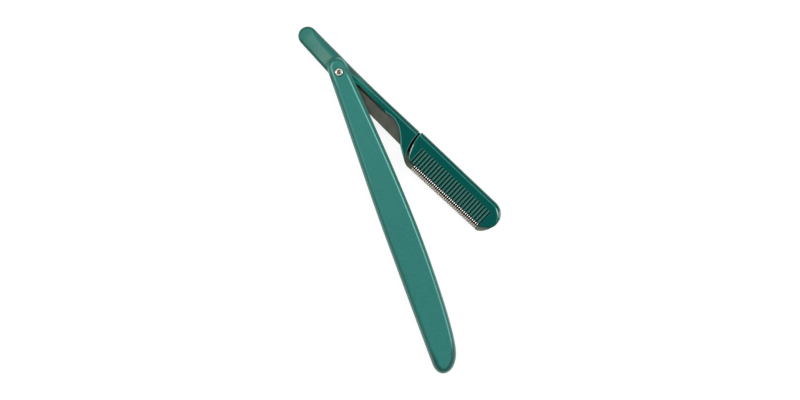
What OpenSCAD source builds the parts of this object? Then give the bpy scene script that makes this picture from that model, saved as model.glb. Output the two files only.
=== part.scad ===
// Folding eyebrow razor: a slotted handle, and an arm with a guarded blade that turns on one hollow rivet.
// It lies flat. Z is the pivot's axis, Z = 0 is the handle's back face, and the handle runs along +X.
// The arm's pieces are drawn straight along +X, with the cutting edge towards -Y and the blade's
// mid-plane at Z = 0. The module arm_place() lifts them to mid-thickness and turns them to where they rest.

/* [Handle] */
// Pivot axis to the far end
handle_reach = 102; // [94:0.5:125]
// Thickness over both faces
handle_thick = 6.2; // [5.8:0.1:8]
// Pivot line to the widest place of the slotted side
handle_belly = 7.52; // [6.8:0.02:9.5]
// Pivot line to the widest place of the closed back
handle_back = 3.55; // [3.4:0.05:4.5]
// Radius of the round end at the pivot
pivot_end_r = 3.2; // [3.1:0.05:3.8]
// Centre of that round end, measured back from the pivot axis
pivot_end_shift = 1.7; // [1.4:0.05:2.4]
// Width of the rounded edge on each face
edge_round_w = 1.15; // [0.5:0.05:1.4]
// Height of the rounded edge on each face
edge_round_h = 1; // [0.4:0.05:1.2]
// Thickness of the closed back between the two cheeks
back_wall = 1.3; // [1:0.05:1.5]
// Pivot axis to where the closed back starts, on which the tail stops the opening arm
back_start = 15; // [13:0.1:15.6]
// Length of the solid end beyond the slot
solid_end_len = 12; // [8:0.5:16]

/* [Locating pins between the two shells] */
// Radius of a pin
pin_r = 0.55; // [0.4:0.05:0.7]
// Length that a pin reaches into the other shell
pin_len = 1.1; // [0.8:0.1:1.4]
// Radius of the post that carries a pin
post_r = 1.2; // [1:0.05:1.4]

/* [Pivot rivet] */
// Radius of the rivet's tube
rivet_r = 0.9; // [0.8:0.05:1]
// Radius of the hole through the rivet
rivet_bore_r = 0.5; // [0.4:0.05:0.6]
// Radius of the rolled head
rivet_head_r = 1.35; // [1.25:0.05:1.45]
// Radius of the recess that each head sits in
rivet_recess_r = 1.6; // [1.55:0.05:1.8]
// Depth of the front recess
front_recess = 0.5; // [0.45:0.05:0.6]
// Radius of the upset rim at the back
rivet_rim_r = 1.2; // [1.1:0.05:1.3]
// Height of the upset rim
rivet_rim_h = 0.3; // [0.2:0.05:0.35]
// Radius of the washer under the rim
washer_r = 1.5; // [1.4:0.05:1.5]
// Thickness of the washer
washer_t = 0.25; // [0.2:0.05:0.35]

/* [Motion] */
// Angle between arm and handle in the lying pose
rest_angle = 27.5; // [10:0.5:150]

/* [Arm frame] */
// Thickness of the tail, spine and neck
arm_thick = 3; // [2.7:0.1:3.2]
// Pivot axis to the centre of the tail's round end
tail_reach = 15.2; // [13:0.1:17]
// How far that centre lies off the arm's line
tail_rise = 1.65; // [1:0.05:2]
// Radius of the tail's round end
tail_r = 3.05; // [2.7:0.05:3.3]
// Arm's line to its back edge, at the pivot
arm_back = 4.08; // [3.8:0.02:4.4]
// Arm's line to its lower edge, at the pivot
arm_front = 2.6; // [2.4:0.05:2.8]
// Pivot axis to the end of the boss round it
boss_reach = 6.6; // [5.5:0.1:8]
// Arm's line to the spine's lower edge, at the boss
spine_low = 1.2; // [0.9:0.05:1.5]
// Pivot axis to where the neck starts
spine_reach = 20.9; // [18:0.1:24]
// Length of the neck, to its pointed end
neck_len = 14.3; // [13:0.1:16]
// Arm's line to the neck's back edge
neck_back = 3.7; // [3.5:0.05:3.8]
// Arm's line to the neck's pointed end
neck_drop = 6.7; // [6.4:0.05:6.9]
// Height of the bevels on the tail, spine and neck
bevel_h = 0.45; // [0.3:0.05:0.6]
// Bevel width along the tail's back edge
tail_back_bevel = 2; // [1.5:0.05:2.2]
// Bevel width round the tail's end and lower edge
tail_low_bevel = 0.75; // [0.5:0.05:0.9]
// Bevel width on both sides of the spine
spine_bevel = 0.65; // [0.4:0.05:0.8]
// Bevel width along the neck's back edge
neck_bevel = 1.2; // [0.8:0.05:1.4]
// Width of the narrow lip where the neck meets the steel
lip_bevel = 0.15; // [0.08:0.01:0.2]

/* [Head cover] */
// Width of the open seam between neck and cover, at the back edge
seam_gap = 0.45; // [0.3:0.05:0.7]
// Length of the cover
head_len = 37.65; // [34:0.05:42]
// Arm's line to the cover's back edge
head_back = 4.07; // [3.9:0.01:4.3]
// How much the back edge falls towards the tip
head_back_fall = 0.23; // [0:0.01:0.4]
// Arm's line to the cover's lower edge, at the heel and at the tip
cover_drop = 5.65; // [5.3:0.05:5.8]
// Arm's line to the recess in that edge, which the guard comes out of
recess_drop = 5.2; // [4.6:0.05:5.3]
// Thickness over both halves of the cover
head_thick = 3; // [2.6:0.1:3.1]
// Height of the cover's bevel
cover_bevel_h = 0.5; // [0.3:0.05:0.6]
// Bevel width along the back edge and round the tip
cover_bevel = 1.15; // [0.7:0.05:1.3]
// Bevel width at the lower edge
cover_low_bevel = 0.55; // [0.3:0.05:0.6]
// Distance from groove to groove
groove_pitch = 1.173; // [1:0.001:1.5]
// Width of a groove
groove_w = 0.42; // [0.3:0.01:0.6]
// Depth of a groove
groove_depth = 0.35; // [0.2:0.05:0.5]
// Arm's line to the grooves' upper ends
groove_top = 0.42; // [0:0.02:1]
// Radius of the pegs that join the halves through the blade
cover_peg_r = 0.7; // [0.5:0.05:0.9]
// Length that a peg reaches into the back half
cover_peg_len = 0.7; // [0.5:0.05:0.8]

/* [Blade] */
// Thickness of the steel
blade_t = 0.4; // [0.25:0.05:0.5]
// Radius of the tang's round end about the pivot
tang_r = 2.1; // [1.8:0.05:2.2]
// Arm's line to the tang's lower edge, at the boss
tang_front = 2.72; // [2.6:0.02:3]
// Arm's line to the tang's lower edge, at the neck
tang_drop = 3.55; // [3.4:0.05:3.65]
// Arm's line to the tang's upper edge, inside the spine
tang_top = 2.4; // [2:0.05:2.7]
// Arm's line to the steel's upper edge, across the seam and inside the cover
steel_top = 3.5; // [3.3:0.05:3.55]
// Cover's start to the heel's lowest corner
heel_reach = 4.25; // [4:0.05:5]
// Arm's line to that corner
heel_drop = 7.1; // [7:0.02:7.3]
// Arm's line to the cutting edge at the heel
edge_drop = 7; // [6.7:0.02:7.06]
// How much the cutting edge rises towards the tip, in degrees
edge_slope = 0.55; // [0:0.05:0.8]
// Width of the ground bevel
grind_w = 0.95; // [0.6:0.05:1.1]
// Thickness left at the cutting edge
edge_land = 0.04; // [0.02:0.01:0.08]

/* [Guard] */
// Cover's start to the first finger
guard_start = 5.75; // [5.4:0.05:6.2]
// Distance from finger to finger
finger_pitch = 0.717; // [0.6:0.001:0.9]
// Width of a finger
finger_w = 0.36; // [0.25:0.01:0.45]
// Thickness of the guard's metal
guard_t = 0.16; // [0.12:0.01:0.2]
// Height of a finger's shoulder above the blade's mid-plane
shoulder_h = 0.66; // [0.55:0.01:0.75]
// Length of the slope that a finger leaves the cover with
slope_len = 0.6; // [0.4:0.05:0.7]
// Length of a finger's level step, between that slope and the one down to the cutting edge
step_len = 0.3; // [0.2:0.05:0.4]
// Height of that step above the blade's mid-plane
step_h = 0.5; // [0.42:0.01:0.54]
// Width of the rail that joins the fingers under the cover
rail_w = 0.6; // [0.4:0.05:0.8]
// How far the fingers reach past the cutting edge
guard_over = 0.2; // [0.17:0.01:0.25]

/* [Fits] */
// Free space between the arm and each cheek of the slot
side_gap = 0.25; // [0.15:0.05:0.35]
// Free space between the closed heel and the slot's floor
heel_gap = 0.35; // [0.25:0.05:0.6]
// Free space between the open arm's tail and the closed back
stop_gap = 0.2; // [0.1:0.05:0.4]
// Radial running fit of the arm on the rivet
run_gap = 0.05; // [0.03:0.01:0.08]
// Assembly clearance of pieces that are joined for good
join_gap = 0.03; // [0.02:0.01:0.05]

/* [Hidden] */
$fn = 64;
// Overrun of every cut
cut_over = 1;
// Points on each curved stretch of an outline, and steps of a rounded edge
curve_steps = 10;
round_steps = 5;

handle_green = [0.235, 0.53, 0.47];
arm_green = [0.03, 0.36, 0.33];
steel_grey = [0.36, 0.35, 0.32];
nickel = [0.8, 0.79, 0.76];

// A cubic curve from a to d, without its last point, so that stretches follow on from each other
function bezier(a, b, c, d) = [for (i = [0 : curve_steps - 1])
    let(t = i / curve_steps, s = 1 - t)
    s * s * s * a + 3 * s * s * t * b + 3 * s * t * t * c + t * t * t * d];
// An arc of a circle, without its last point, that carries a bevel width as its third value
function arc(centre, r, from, to, bevel) = [for (i = [0 : curve_steps - 1])
    let(a = from + (to - from) * i / curve_steps)
    [centre[0] + r * cos(a), centre[1] + r * sin(a), bevel]];
// A share of a width and of a height, with a bevel width as the third value
function spot(shares, size, bevel) = [shares[0] * size[0], shares[1] * size[1], bevel];
// The unit vector that points into the outline at its point i
function inward(pts, i) =
    let(n = len(pts), a = pts[(i + n - 1) % n], b = pts[(i + 1) % n], d = [b[0] - a[0], b[1] - a[1]])
    [-d[1], d[0]] / norm(d);
// The outline drawn in by a share of the bevel width that each point carries, or towards the spot that
// a point at a mitred corner carries instead
function drawn_in(pts, share) = [for (i = [0 : len(pts) - 1])
    let(p = pts[i], spot = [p[0], p[1]])
    is_list(p[2]) ? spot + share * (p[2] - spot) : spot + share * p[2] * inward(pts, i)];
function flat(pts) = [for (p = pts) [p[0], p[1]]];
// A corner where the bevel changes its width at once: every point of it is drawn in to one spot
function mitred(pts, spot) = [for (p = pts) [p[0], p[1], spot]];

// Triangles between two runs of a ring's points, one counted up from a[0] to a[1], one down from b[0]
// to b[1]
function ladder(a, b, n) = let(m = max(a[1] - a[0], b[0] - b[1]))
    [for (k = [0 : m - 1])
        let(a1 = a[0] + round(k * (a[1] - a[0]) / m), a2 = a[0] + round((k + 1) * (a[1] - a[0]) / m),
            b1 = b[0] - round(k * (b[0] - b[1]) / m), b2 = b[0] - round((k + 1) * (b[0] - b[1]) / m))
        for (t = [[b1 % n, a1, a2], [b1 % n, a2, b2 % n]])
            if (t[0] != t[1] && t[1] != t[2] && t[2] != t[0]) t];

// A solid through rings of points, one above the other. A ring that isn't convex brings the faces of
// its ends along.
module loft(rings, heights, ends = []) {
    n = len(rings[0]);
    last = len(rings) - 1;
    end_faces = len(ends) > 0 ? ends : [[for (i = [0 : n - 1]) i]];
    polyhedron(
        points = [for (k = [0 : last]) for (p = rings[k]) [p[0], p[1], heights[k]]],
        faces = concat(
            end_faces,
            [for (f = end_faces) [for (i = [len(f) - 1 : -1 : 0]) last * n + f[i]]],
            [for (k = [0 : last - 1]) for (i = [0 : n - 1])
                [k * n + i, (k + 1) * n + i, (k + 1) * n + (i + 1) % n]],
            [for (k = [0 : last - 1]) for (i = [0 : n - 1])
                [k * n + i, (k + 1) * n + (i + 1) % n, k * n + (i + 1) % n]]));
}

// Places along the arm: the neck's top corner, the cover and the blade's heel

// Where the neck's right edge meets its back edge, as a share of the neck's length
neck_top_share = 0.769;
neck_corner = spine_reach + neck_top_share * neck_len;
head_x = neck_corner + seam_gap;
head_tip_x = head_x + head_len;
head_size = [head_len, head_back + cover_drop];
heel = [head_x + heel_reach, -heel_drop];
// The cutting edge starts here, and the guard and the ground bevel follow its slope
edge_start = [head_x + guard_start, -edge_drop];
recess_over_edge = edge_drop - recess_drop;
// Cover's start to the end of the cutting edge, as a share of the cover's length
edge_end_share = 0.891;
edge_len = head_x + edge_end_share * head_len - edge_start[0];
finger_count = floor((edge_len - finger_w) / finger_pitch) + 1;
guard_len = (finger_count - 1) * finger_pitch + finger_w;

// Motion: closed, the blade's heel stands heel_gap above the slot's floor

mid_z = handle_thick / 2;
slot_half = arm_thick / 2 + side_gap;
floor_depth = handle_back - back_wall;
closed_angle = atan(heel_drop / heel[0]) - asin((floor_depth - heel_gap) / norm(heel));
// Open, the tail's lower edge stands stop_gap off the corner where the closed back starts
tail_centre = [-tail_reach, tail_rise];
// The tail's round end runs between the directions square to its two edges
tail_back_turn = 87.6;
tail_low_turn = 265;
tail_low_end = tail_centre + tail_r * [cos(tail_low_turn), sin(tail_low_turn)];
tail_low_lean = atan((tail_low_end[1] + arm_front) / tail_low_end[0]);
open_angle = 180 - atan(pivot_end_r / back_start) - tail_low_lean
    - asin((arm_front * cos(tail_low_lean) + stop_gap) / norm([back_start, pivot_end_r]));
echo(closed = closed_angle, open = open_angle);
echo(range = [closed_angle - rest_angle, open_angle - rest_angle]);

module arm_place() {
    translate([0, 0, mid_z])
        rotate([0, 0, rest_angle])
            children();
}

// Handle

slot_end_x = handle_reach - solid_end_len;
// Corner radius at the slot's far end
slot_corner_share = 0.5;
// Where the slotted side leaves the round pivot end, as a direction from that end's centre
slot_side_turn = 94.9;
// The outline's curve points, as shares of the reach and of the back's or the belly's width
back_side_shares = [[0.137, -0.9], [0.353, -1.02], [0.49, -1], [0.627, -0.96], [0.889, -0.838],
    [0.961, -0.785], [0.986, -0.74], [1, -0.39]];
slot_side_shares = [[1, 0.054], [1, 0.4], [0.971, 0.667], [0.946, 0.757], [0.897, 0.94], [0.78, 1],
    [0.657, 1], [0.425, 1], [0.19, 0.664]];
back_pts = [for (s = back_side_shares) spot(s, [handle_reach, handle_back], edge_round_w)];
slot_pts = [for (s = slot_side_shares) spot(s, [handle_reach, handle_belly], edge_round_w)];
pivot_end = [-pivot_end_shift, 0];
pivot_end_low = [-pivot_end_shift, -pivot_end_r, edge_round_w];
pivot_end_high = arc(pivot_end, pivot_end_r, slot_side_turn, 270, edge_round_w)[0];
handle_outline = concat(
    bezier(pivot_end_low, back_pts[0], back_pts[1], back_pts[2]),
    bezier(back_pts[2], back_pts[3], back_pts[4], back_pts[5]),
    bezier(back_pts[5], back_pts[6], back_pts[7], slot_pts[0]),
    bezier(slot_pts[0], slot_pts[1], slot_pts[2], slot_pts[3]),
    bezier(slot_pts[3], slot_pts[4], slot_pts[5], slot_pts[6]),
    bezier(slot_pts[6], slot_pts[7], slot_pts[8], pivot_end_high),
    arc(pivot_end, pivot_end_r, slot_side_turn, 270, edge_round_w));

// Places of the locating pins: near the back's start, past the closed head, and in the solid end
post_y = post_r / 3 - floor_depth;
near_post = [back_start + 4 * post_r, post_y];
far_post = [min(head_tip_x + 2 * post_r, slot_end_x - 4 * post_r), post_y];
end_pin = [slot_end_x + solid_end_len / 2, floor_depth / 2];
pin_spots = [near_post, far_post, end_pin];

// One half of the handle, from the mid-plane at Z = 0 out to a face
module half_shell() {
    steps = [for (i = [0 : round_steps]) 90 * i / round_steps];
    difference() {
        loft(
            concat([flat(handle_outline)], [for (a = steps) drawn_in(handle_outline, 1 - cos(a))]),
            concat([0], [for (a = steps) mid_z - edge_round_h + edge_round_h * sin(a)]));
        slot_space();
        translate([0, 0, -cut_over])
            cylinder(r = rivet_r + join_gap, h = mid_z + 2 * cut_over);
    }
    for (p = [near_post, far_post])
        translate(p)
            cylinder(r = post_r, h = slot_half + join_gap);
}

// The free space between the cheeks: open all round up to the back's start, then over the floor
module slot_space() {
    corner_r = slot_corner_share * floor_depth;
    translate([0, 0, -cut_over])
        linear_extrude(slot_half + cut_over)
            polygon(concat(
                [[-pivot_end_shift - pivot_end_r - cut_over, handle_belly + cut_over],
                    [-pivot_end_shift - pivot_end_r - cut_over, -handle_back - cut_over],
                    [back_start, -handle_back - cut_over], [back_start, -floor_depth]],
                flat(arc([slot_end_x - corner_r, corner_r - floor_depth], corner_r, 270, 360, 0)),
                [[slot_end_x, corner_r - floor_depth], [slot_end_x, handle_belly + cut_over]]));
}

module handle_front_shell() {
    color(handle_green)
        translate([0, 0, mid_z])
            difference() {
                half_shell();
                translate([0, 0, mid_z - front_recess])
                    cylinder(r = rivet_recess_r, h = front_recess + cut_over);
                for (p = pin_spots)
                    translate([p[0], p[1], -cut_over])
                        cylinder(r = pin_r + join_gap, h = pin_len + join_gap + cut_over);
            }
}

back_recess = washer_t + rivet_rim_h;

module handle_back_shell() {
    color(handle_green)
        translate([0, 0, mid_z]) {
            mirror([0, 0, 1])
                difference() {
                    half_shell();
                    translate([0, 0, mid_z - back_recess])
                        cylinder(r = rivet_recess_r, h = back_recess + cut_over);
                }
            for (p = pin_spots)
                translate([p[0], p[1], -slot_half])
                    cylinder(r = pin_r, h = slot_half + pin_len);
        }
}

// Pivot

front_seat_z = handle_thick - front_recess;

module pivot_rivet() {
    roll_r = (rivet_head_r - rivet_bore_r) / 2;
    color(nickel)
        difference() {
            union() {
                cylinder(r = rivet_r, h = front_seat_z);
                cylinder(r = rivet_rim_r, h = rivet_rim_h);
                intersection() {
                    translate([0, 0, front_seat_z])
                        rotate_extrude()
                            translate([rivet_bore_r + roll_r, 0])
                                circle(r = roll_r);
                    translate([0, 0, front_seat_z])
                        cylinder(r = rivet_head_r + cut_over, h = roll_r + cut_over);
                }
            }
            translate([0, 0, -cut_over])
                cylinder(r = rivet_bore_r, h = handle_thick + 2 * cut_over);
        }
}

module rivet_washer() {
    color(nickel)
        translate([0, 0, rivet_rim_h])
            difference() {
                cylinder(r = washer_r, h = washer_t);
                translate([0, 0, -cut_over])
                    cylinder(r = rivet_r + join_gap, h = washer_t + 2 * cut_over);
            }
}

// Arm frame

// The neck's web, flare and right edge, as shares of its length and of its height over the pointed end
web_shares = [[0.042, 0.752], [0.3, 0.77], [0.455, 0.586], [0.664, 0.279]];
flare_shares = [[0.734, 0.216], [0.874, 0.096], [0.972, 0.013]];
point_shares = [[0.99, 0], [1.004, 0.01], [0.997, 0.03]];
right_edge_shares = [[0.839, 0.231], [0.783, 0.529]];
neck_size = [neck_len, neck_drop + neck_back];
function neck_spot(shares, bevel) = spot(shares, neck_size, bevel) + [spine_reach, -neck_drop, 0];
web_pts = [for (s = web_shares) neck_spot(s, lip_bevel)];
flare_pts = [for (s = flare_shares) neck_spot(s, lip_bevel)];
// The lip fades out towards the pointed end, which is too sharp for a bevel of full width
point_bevel = lip_bevel / 5;
neck_point = neck_spot(flare_shares[2], point_bevel);
point_pts = [for (s = point_shares) neck_spot(s, point_bevel)];
edge_pts = [for (s = right_edge_shares) neck_spot(s, lip_bevel)];
edge_top = [neck_corner, neck_back - neck_bevel, lip_bevel];

// The boss's lower right corner is drawn round by these shares of the boss's reach
boss_shares = [0.48, 0.82];
// How far the neck's top right corner is rounded
neck_turn = lip_bevel / 3;
arm_outline = concat(
    arc(tail_centre, tail_r, tail_back_turn, tail_low_turn, tail_low_bevel),
    [[tail_low_end[0], tail_low_end[1], tail_low_bevel]],
    bezier(
        [0, -arm_front, tail_low_bevel],
        [boss_shares[0] * boss_reach, -arm_front - lip_bevel, spine_bevel],
        [boss_shares[1] * boss_reach, -arm_front, spine_bevel],
        [boss_shares[1] * boss_reach, -arm_front / 2, spine_bevel]),
    bezier(
        [boss_shares[1] * boss_reach, -arm_front / 2, spine_bevel],
        [boss_shares[1] * boss_reach, spine_low / 2, spine_bevel],
        [boss_reach, spine_low, spine_bevel],
        [boss_reach + spine_low, spine_low, spine_bevel]),
    bezier(
        [boss_reach + spine_low, spine_low, spine_bevel],
        [spine_reach / 2, spine_low, spine_bevel],
        [spine_reach - 2 * spine_bevel, web_pts[0][1] - 2 * lip_bevel, spine_bevel],
        [spine_reach - spine_bevel, web_pts[0][1] - 2 * lip_bevel, spine_bevel / 2]),
    bezier(web_pts[0], web_pts[1], web_pts[2], web_pts[3]),
    bezier(web_pts[3], flare_pts[0], flare_pts[1], neck_point),
    bezier(neck_point, point_pts[0], point_pts[1], point_pts[2]),
    bezier(point_pts[2], edge_pts[0], edge_pts[1], edge_top),
    mitred(
        bezier(
            edge_top,
            [neck_corner, neck_back - neck_turn, lip_bevel],
            [neck_corner - neck_turn, neck_back, neck_bevel],
            [neck_corner - lip_bevel, neck_back, neck_bevel]),
        [neck_corner - lip_bevel, neck_back - neck_bevel]),
    bezier(
        [neck_corner - lip_bevel, neck_back, neck_bevel],
        [spine_reach, neck_back, neck_bevel],
        [spine_reach, neck_back, spine_bevel],
        [spine_reach - neck_bevel, neck_back, spine_bevel]),
    bezier(
        [spine_reach - neck_bevel, neck_back, spine_bevel],
        [boss_reach, neck_back, spine_bevel],
        [0, arm_back, tail_back_bevel],
        [-tail_r, arm_back + lip_bevel, tail_back_bevel]),
    bezier(
        [-tail_r, arm_back + lip_bevel, tail_back_bevel],
        [-tail_reach / 2, arm_back + 2 * lip_bevel, tail_back_bevel],
        [tail_r - tail_reach, tail_rise + tail_r - lip_bevel, tail_back_bevel],
        arc(tail_centre, tail_r, tail_back_turn, tail_low_turn, tail_low_bevel)[0]));

// The faces are divided between the lower and the upper edge, from the tail's end to the neck's point.
// The points are counted in stretches of the outline, and the straight lower edge of the tail is one.
function stretch(count) = round(count * curve_steps);
arm_rungs = [
    [[stretch(0.5), stretch(1)], [stretch(0.5), 0]],
    [[stretch(1), stretch(1) + 1], [stretch(12) + 1, stretch(11) + 1]],
    [[stretch(1) + 1, stretch(3) + 1], [stretch(11) + 1, stretch(10.4) + 1]],
    [[stretch(3) + 1, stretch(4) + 1], [stretch(10.4) + 1, stretch(10) + 1]],
    [[stretch(4) + 1, stretch(5) + 1], [stretch(10) + 1, stretch(8) + 1]],
    [[stretch(5) + 1, stretch(6) + 1], [stretch(8) + 1, stretch(7) + 1]],
    [[stretch(6) + 1, stretch(6.5) + 1], [stretch(7) + 1, stretch(6.5) + 1]]];
arm_faces = [for (r = arm_rungs) each ladder(r[0], r[1], len(arm_outline))];

lock_spot = [spine_reach + neck_len / 2, 0];
lock_r = cover_peg_r;

module arm_frame() {
    half = arm_thick / 2;
    color(arm_green)
        arm_place() {
            difference() {
                loft(
                    [drawn_in(arm_outline, 1), flat(arm_outline), flat(arm_outline), drawn_in(arm_outline, 1)],
                    [-half, bevel_h - half, half - bevel_h, half],
                    arm_faces);
                translate([0, 0, -blade_t / 2 - join_gap])
                    linear_extrude(blade_t + 2 * join_gap)
                        polygon(blade_outline);
                translate([0, 0, -half - cut_over])
                    cylinder(r = rivet_r + run_gap, h = arm_thick + 2 * cut_over);
            }
            translate([lock_spot[0], lock_spot[1], -half + bevel_h])
                cylinder(r = lock_r, h = arm_thick - 2 * bevel_h);
        }
}

// Blade: one stamping, from the tang's hole at the pivot to the rounded tip

edge_end_x = edge_start[0] + edge_len;
function edge_y(x) = (x - edge_start[0]) * tan(edge_slope) - edge_drop;
// How far the steel keeps inside the plastic along the neck's flare
flare_cover = 2 * lip_bevel;
// The tip's curve points, as shares of the head's height, measured back from the tip and down
tip_shares = [[0.012, 0.12], [0.02, 0.428]];
tip_corner_share = 0.242;
cover_inset = cover_bevel / 2;
// Like the heel, the tip's corner stands past the cutting edge, and the fingers end between them
tip_low = edge_y(edge_end_x) - guard_over;
blade_outline = concat(
    flat(arc([0, 0], tang_r, 90, 270, 0)),
    [[0, -tang_r], [boss_reach, -tang_front]],
    [[web_pts[3][0] - 2 * flare_cover, -tang_drop], [web_pts[3][0] + lip_bevel, -tang_drop]],
    [for (p = [flare_pts[0], flare_pts[1]]) [p[0], p[1] + flare_cover]],
    flat(bezier(
        [neck_corner + seam_gap + heel_reach / 2, -neck_drop + flare_cover, 0],
        [heel[0] - seam_gap * 2, -heel_drop + lip_bevel, 0],
        [heel[0] - seam_gap, -heel_drop, 0],
        [heel[0], -heel_drop, 0])),
    [heel, [edge_start[0] - seam_gap, -heel_drop], [edge_start[0], edge_y(edge_start[0])]],
    [[edge_end_x, edge_y(edge_end_x)]],
    flat(bezier(
        [edge_end_x + guard_over, tip_low, 0],
        [head_tip_x - tip_corner_share * head_size[1], tip_low, 0],
        [head_tip_x - tip_shares[1][0] * head_size[1], -tip_shares[1][1] * head_size[1], 0],
        [head_tip_x - tip_shares[0][0] * head_size[1], -tip_shares[0][1] * head_size[1], 0])),
    flat(bezier(
        [head_tip_x - tip_shares[0][0] * head_size[1], -tip_shares[0][1] * head_size[1], 0],
        [head_tip_x - cover_inset, head_back / 2, 0],
        [head_tip_x - cover_bevel - cover_inset, steel_top, 0],
        [edge_end_x, steel_top, 0])),
    [[edge_end_x, steel_top], [neck_corner, steel_top], [neck_corner - seam_gap, tang_top],
        [boss_reach, tang_top]]);

cover_peg_shares = [0.27, 0.76];
cover_peg_y = (groove_top + head_back) / 2 - cover_inset;
cover_peg_spots = [for (s = cover_peg_shares) [head_x + s * head_len, cover_peg_y]];

module blade() {
    color(steel_grey)
        arm_place()
            difference() {
                translate([0, 0, -blade_t / 2])
                    linear_extrude(blade_t)
                        polygon(blade_outline);
                translate([0, 0, -blade_t])
                    cylinder(r = rivet_r + run_gap, h = 2 * blade_t);
                translate([lock_spot[0], lock_spot[1], -blade_t])
                    cylinder(r = lock_r + join_gap, h = 2 * blade_t);
                for (p = cover_peg_spots)
                    translate([p[0], p[1], -blade_t])
                        cylinder(r = cover_peg_r + join_gap, h = 2 * blade_t);
                ground_bevel();
                mirror([0, 0, 1])
                    ground_bevel();
            }
}

// The wedge of steel ground away on one side along the cutting edge
module ground_bevel() {
    translate([edge_start[0], edge_start[1], 0])
        rotate([0, 0, edge_slope])
            rotate([90, 0, 90])
                linear_extrude(edge_len)
                    polygon([[-cut_over, edge_land / 2], [0, edge_land / 2], [grind_w, blade_t / 2],
                        [grind_w, blade_t], [-cut_over, blade_t]]);
}

// Guard: a comb of metal, folded over the cutting edge, that the cover clamps by its rails

module blade_guard() {
    rail_top = recess_over_edge + rail_w;
    step_start = recess_over_edge - slope_len;
    front_start = step_start - step_len;
    low = blade_t / 2 + join_gap;
    nose = -guard_over;
    color(nickel)
        arm_place()
            translate([edge_start[0], edge_start[1], 0])
                rotate([0, 0, edge_slope]) {
                    for (side = [0, 1])
                        mirror([0, 0, side])
                            translate([0, recess_over_edge, low])
                                cube([guard_len, rail_w, shoulder_h - low]);
                    for (i = [0 : finger_count - 1])
                        translate([i * finger_pitch, 0, 0])
                            rotate([90, 0, 90])
                                linear_extrude(finger_w)
                                    polygon([
                                        [rail_top, low], [rail_top, shoulder_h],
                                        [recess_over_edge, shoulder_h], [step_start, step_h],
                                        [front_start, step_h], [nose, guard_t], [nose, -guard_t],
                                        [front_start, -step_h], [step_start, -step_h],
                                        [recess_over_edge, -shoulder_h], [rail_top, -shoulder_h],
                                        [rail_top, -low], [recess_over_edge, -low],
                                        [recess_over_edge, guard_t - shoulder_h],
                                        [step_start, guard_t - step_h], [front_start, guard_t - step_h],
                                        [nose + guard_t, -edge_land], [nose + guard_t, edge_land],
                                        [front_start, step_h - guard_t], [step_start, step_h - guard_t],
                                        [recess_over_edge, shoulder_h - guard_t], [recess_over_edge, low]]);
                }
}

// Head cover: two ribbed halves that clamp the blade between them

// The heel side and the cut lower corner at the tip, as shares of the cover's length and height
heel_side_shares = [[0.005, 0.647], [0.046, 0], [0.104, 0]];
tip_corner_shares = [[0.883, 0], [0.899, 0], [0.908, 0.005], [0.919, 0.041], [0.976, 0.224],
    [0.989, 0.266], [1, 0.329], [1, 0.468]];
tip_top_shares = [[1, 0.788], [0.947, 1], [0.867, 1]];
function head_spot(shares, bevel) = spot(shares, head_size, bevel) + [head_x, -cover_drop, 0];
heel_side_bevel = 2 * lip_bevel;
corner_pts = [for (s = tip_corner_shares) head_spot(s, cover_low_bevel)];
top_pts = [for (s = tip_top_shares) head_spot(s, cover_bevel) - [0, head_back_fall, 0]];
heel_top = [head_x, head_back - cover_bevel, heel_side_bevel];
back_corner = [head_x + heel_side_bevel, head_back, cover_bevel];
cover_outline = concat(
    bezier(
        heel_top,
        head_spot(heel_side_shares[0], heel_side_bevel),
        head_spot(heel_side_shares[1], heel_side_bevel),
        head_spot(heel_side_shares[2], cover_low_bevel)),
    bezier(
        head_spot(heel_side_shares[2], cover_low_bevel),
        head_spot(heel_side_shares[2], cover_low_bevel) + [cover_bevel, 0, 0],
        corner_pts[0] - [cover_bevel, 0, 0],
        corner_pts[0]),
    bezier(corner_pts[0], corner_pts[1], corner_pts[2], corner_pts[3]),
    bezier(corner_pts[3], corner_pts[3], corner_pts[4], corner_pts[4]),
    bezier(corner_pts[4], corner_pts[5], corner_pts[6], head_spot(tip_corner_shares[7], cover_bevel / 2)),
    bezier(head_spot(tip_corner_shares[7], cover_bevel / 2), top_pts[0], top_pts[1], top_pts[2]),
    bezier(
        top_pts[2],
        top_pts[2] - [cover_bevel, 0, 0],
        [head_x + 2 * cover_bevel, head_back, cover_bevel],
        back_corner),
    mitred(
        bezier(
            back_corner,
            back_corner - [heel_side_bevel / 2, 0, 0],
            heel_top + [0, cover_bevel / 2, 0],
            heel_top),
        [head_x + heel_side_bevel, head_back - cover_bevel]));

// Cover's start to its first and last groove, as shares of its length
first_groove_share = 0.11;
last_groove_share = 0.896;
groove_count = floor((last_groove_share - first_groove_share) * head_len / groove_pitch) + 1;

// One half of the cover, on top of the blade
module half_cover() {
    low = blade_t / 2 + join_gap;
    top = head_thick / 2;
    difference() {
        loft(
            [flat(cover_outline), flat(cover_outline), drawn_in(cover_outline, 1)],
            [low, top - cover_bevel_h, top]);
        for (i = [0 : groove_count - 1])
            translate([head_x + first_groove_share * head_len + i * groove_pitch - groove_w / 2,
                    -recess_drop, top - groove_depth])
                cube([groove_w, recess_drop + groove_top, groove_depth + cut_over]);
        translate([edge_start[0], edge_start[1], 0])
            rotate([0, 0, edge_slope])
                translate([-join_gap, -cut_over, -cut_over]) {
                    cube([guard_len + 2 * join_gap, recess_over_edge + rail_w + join_gap + cut_over,
                        cut_over + shoulder_h + join_gap]);
                    cube([guard_len + 2 * join_gap, recess_over_edge + cut_over, head_thick]);
                }
    }
}

module head_cover_front() {
    color(arm_green)
        arm_place() {
            half_cover();
            for (p = cover_peg_spots)
                translate([p[0], p[1], -blade_t / 2 - cover_peg_len])
                    cylinder(r = cover_peg_r, h = cover_peg_len + blade_t + head_thick / 4);
        }
}

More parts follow.
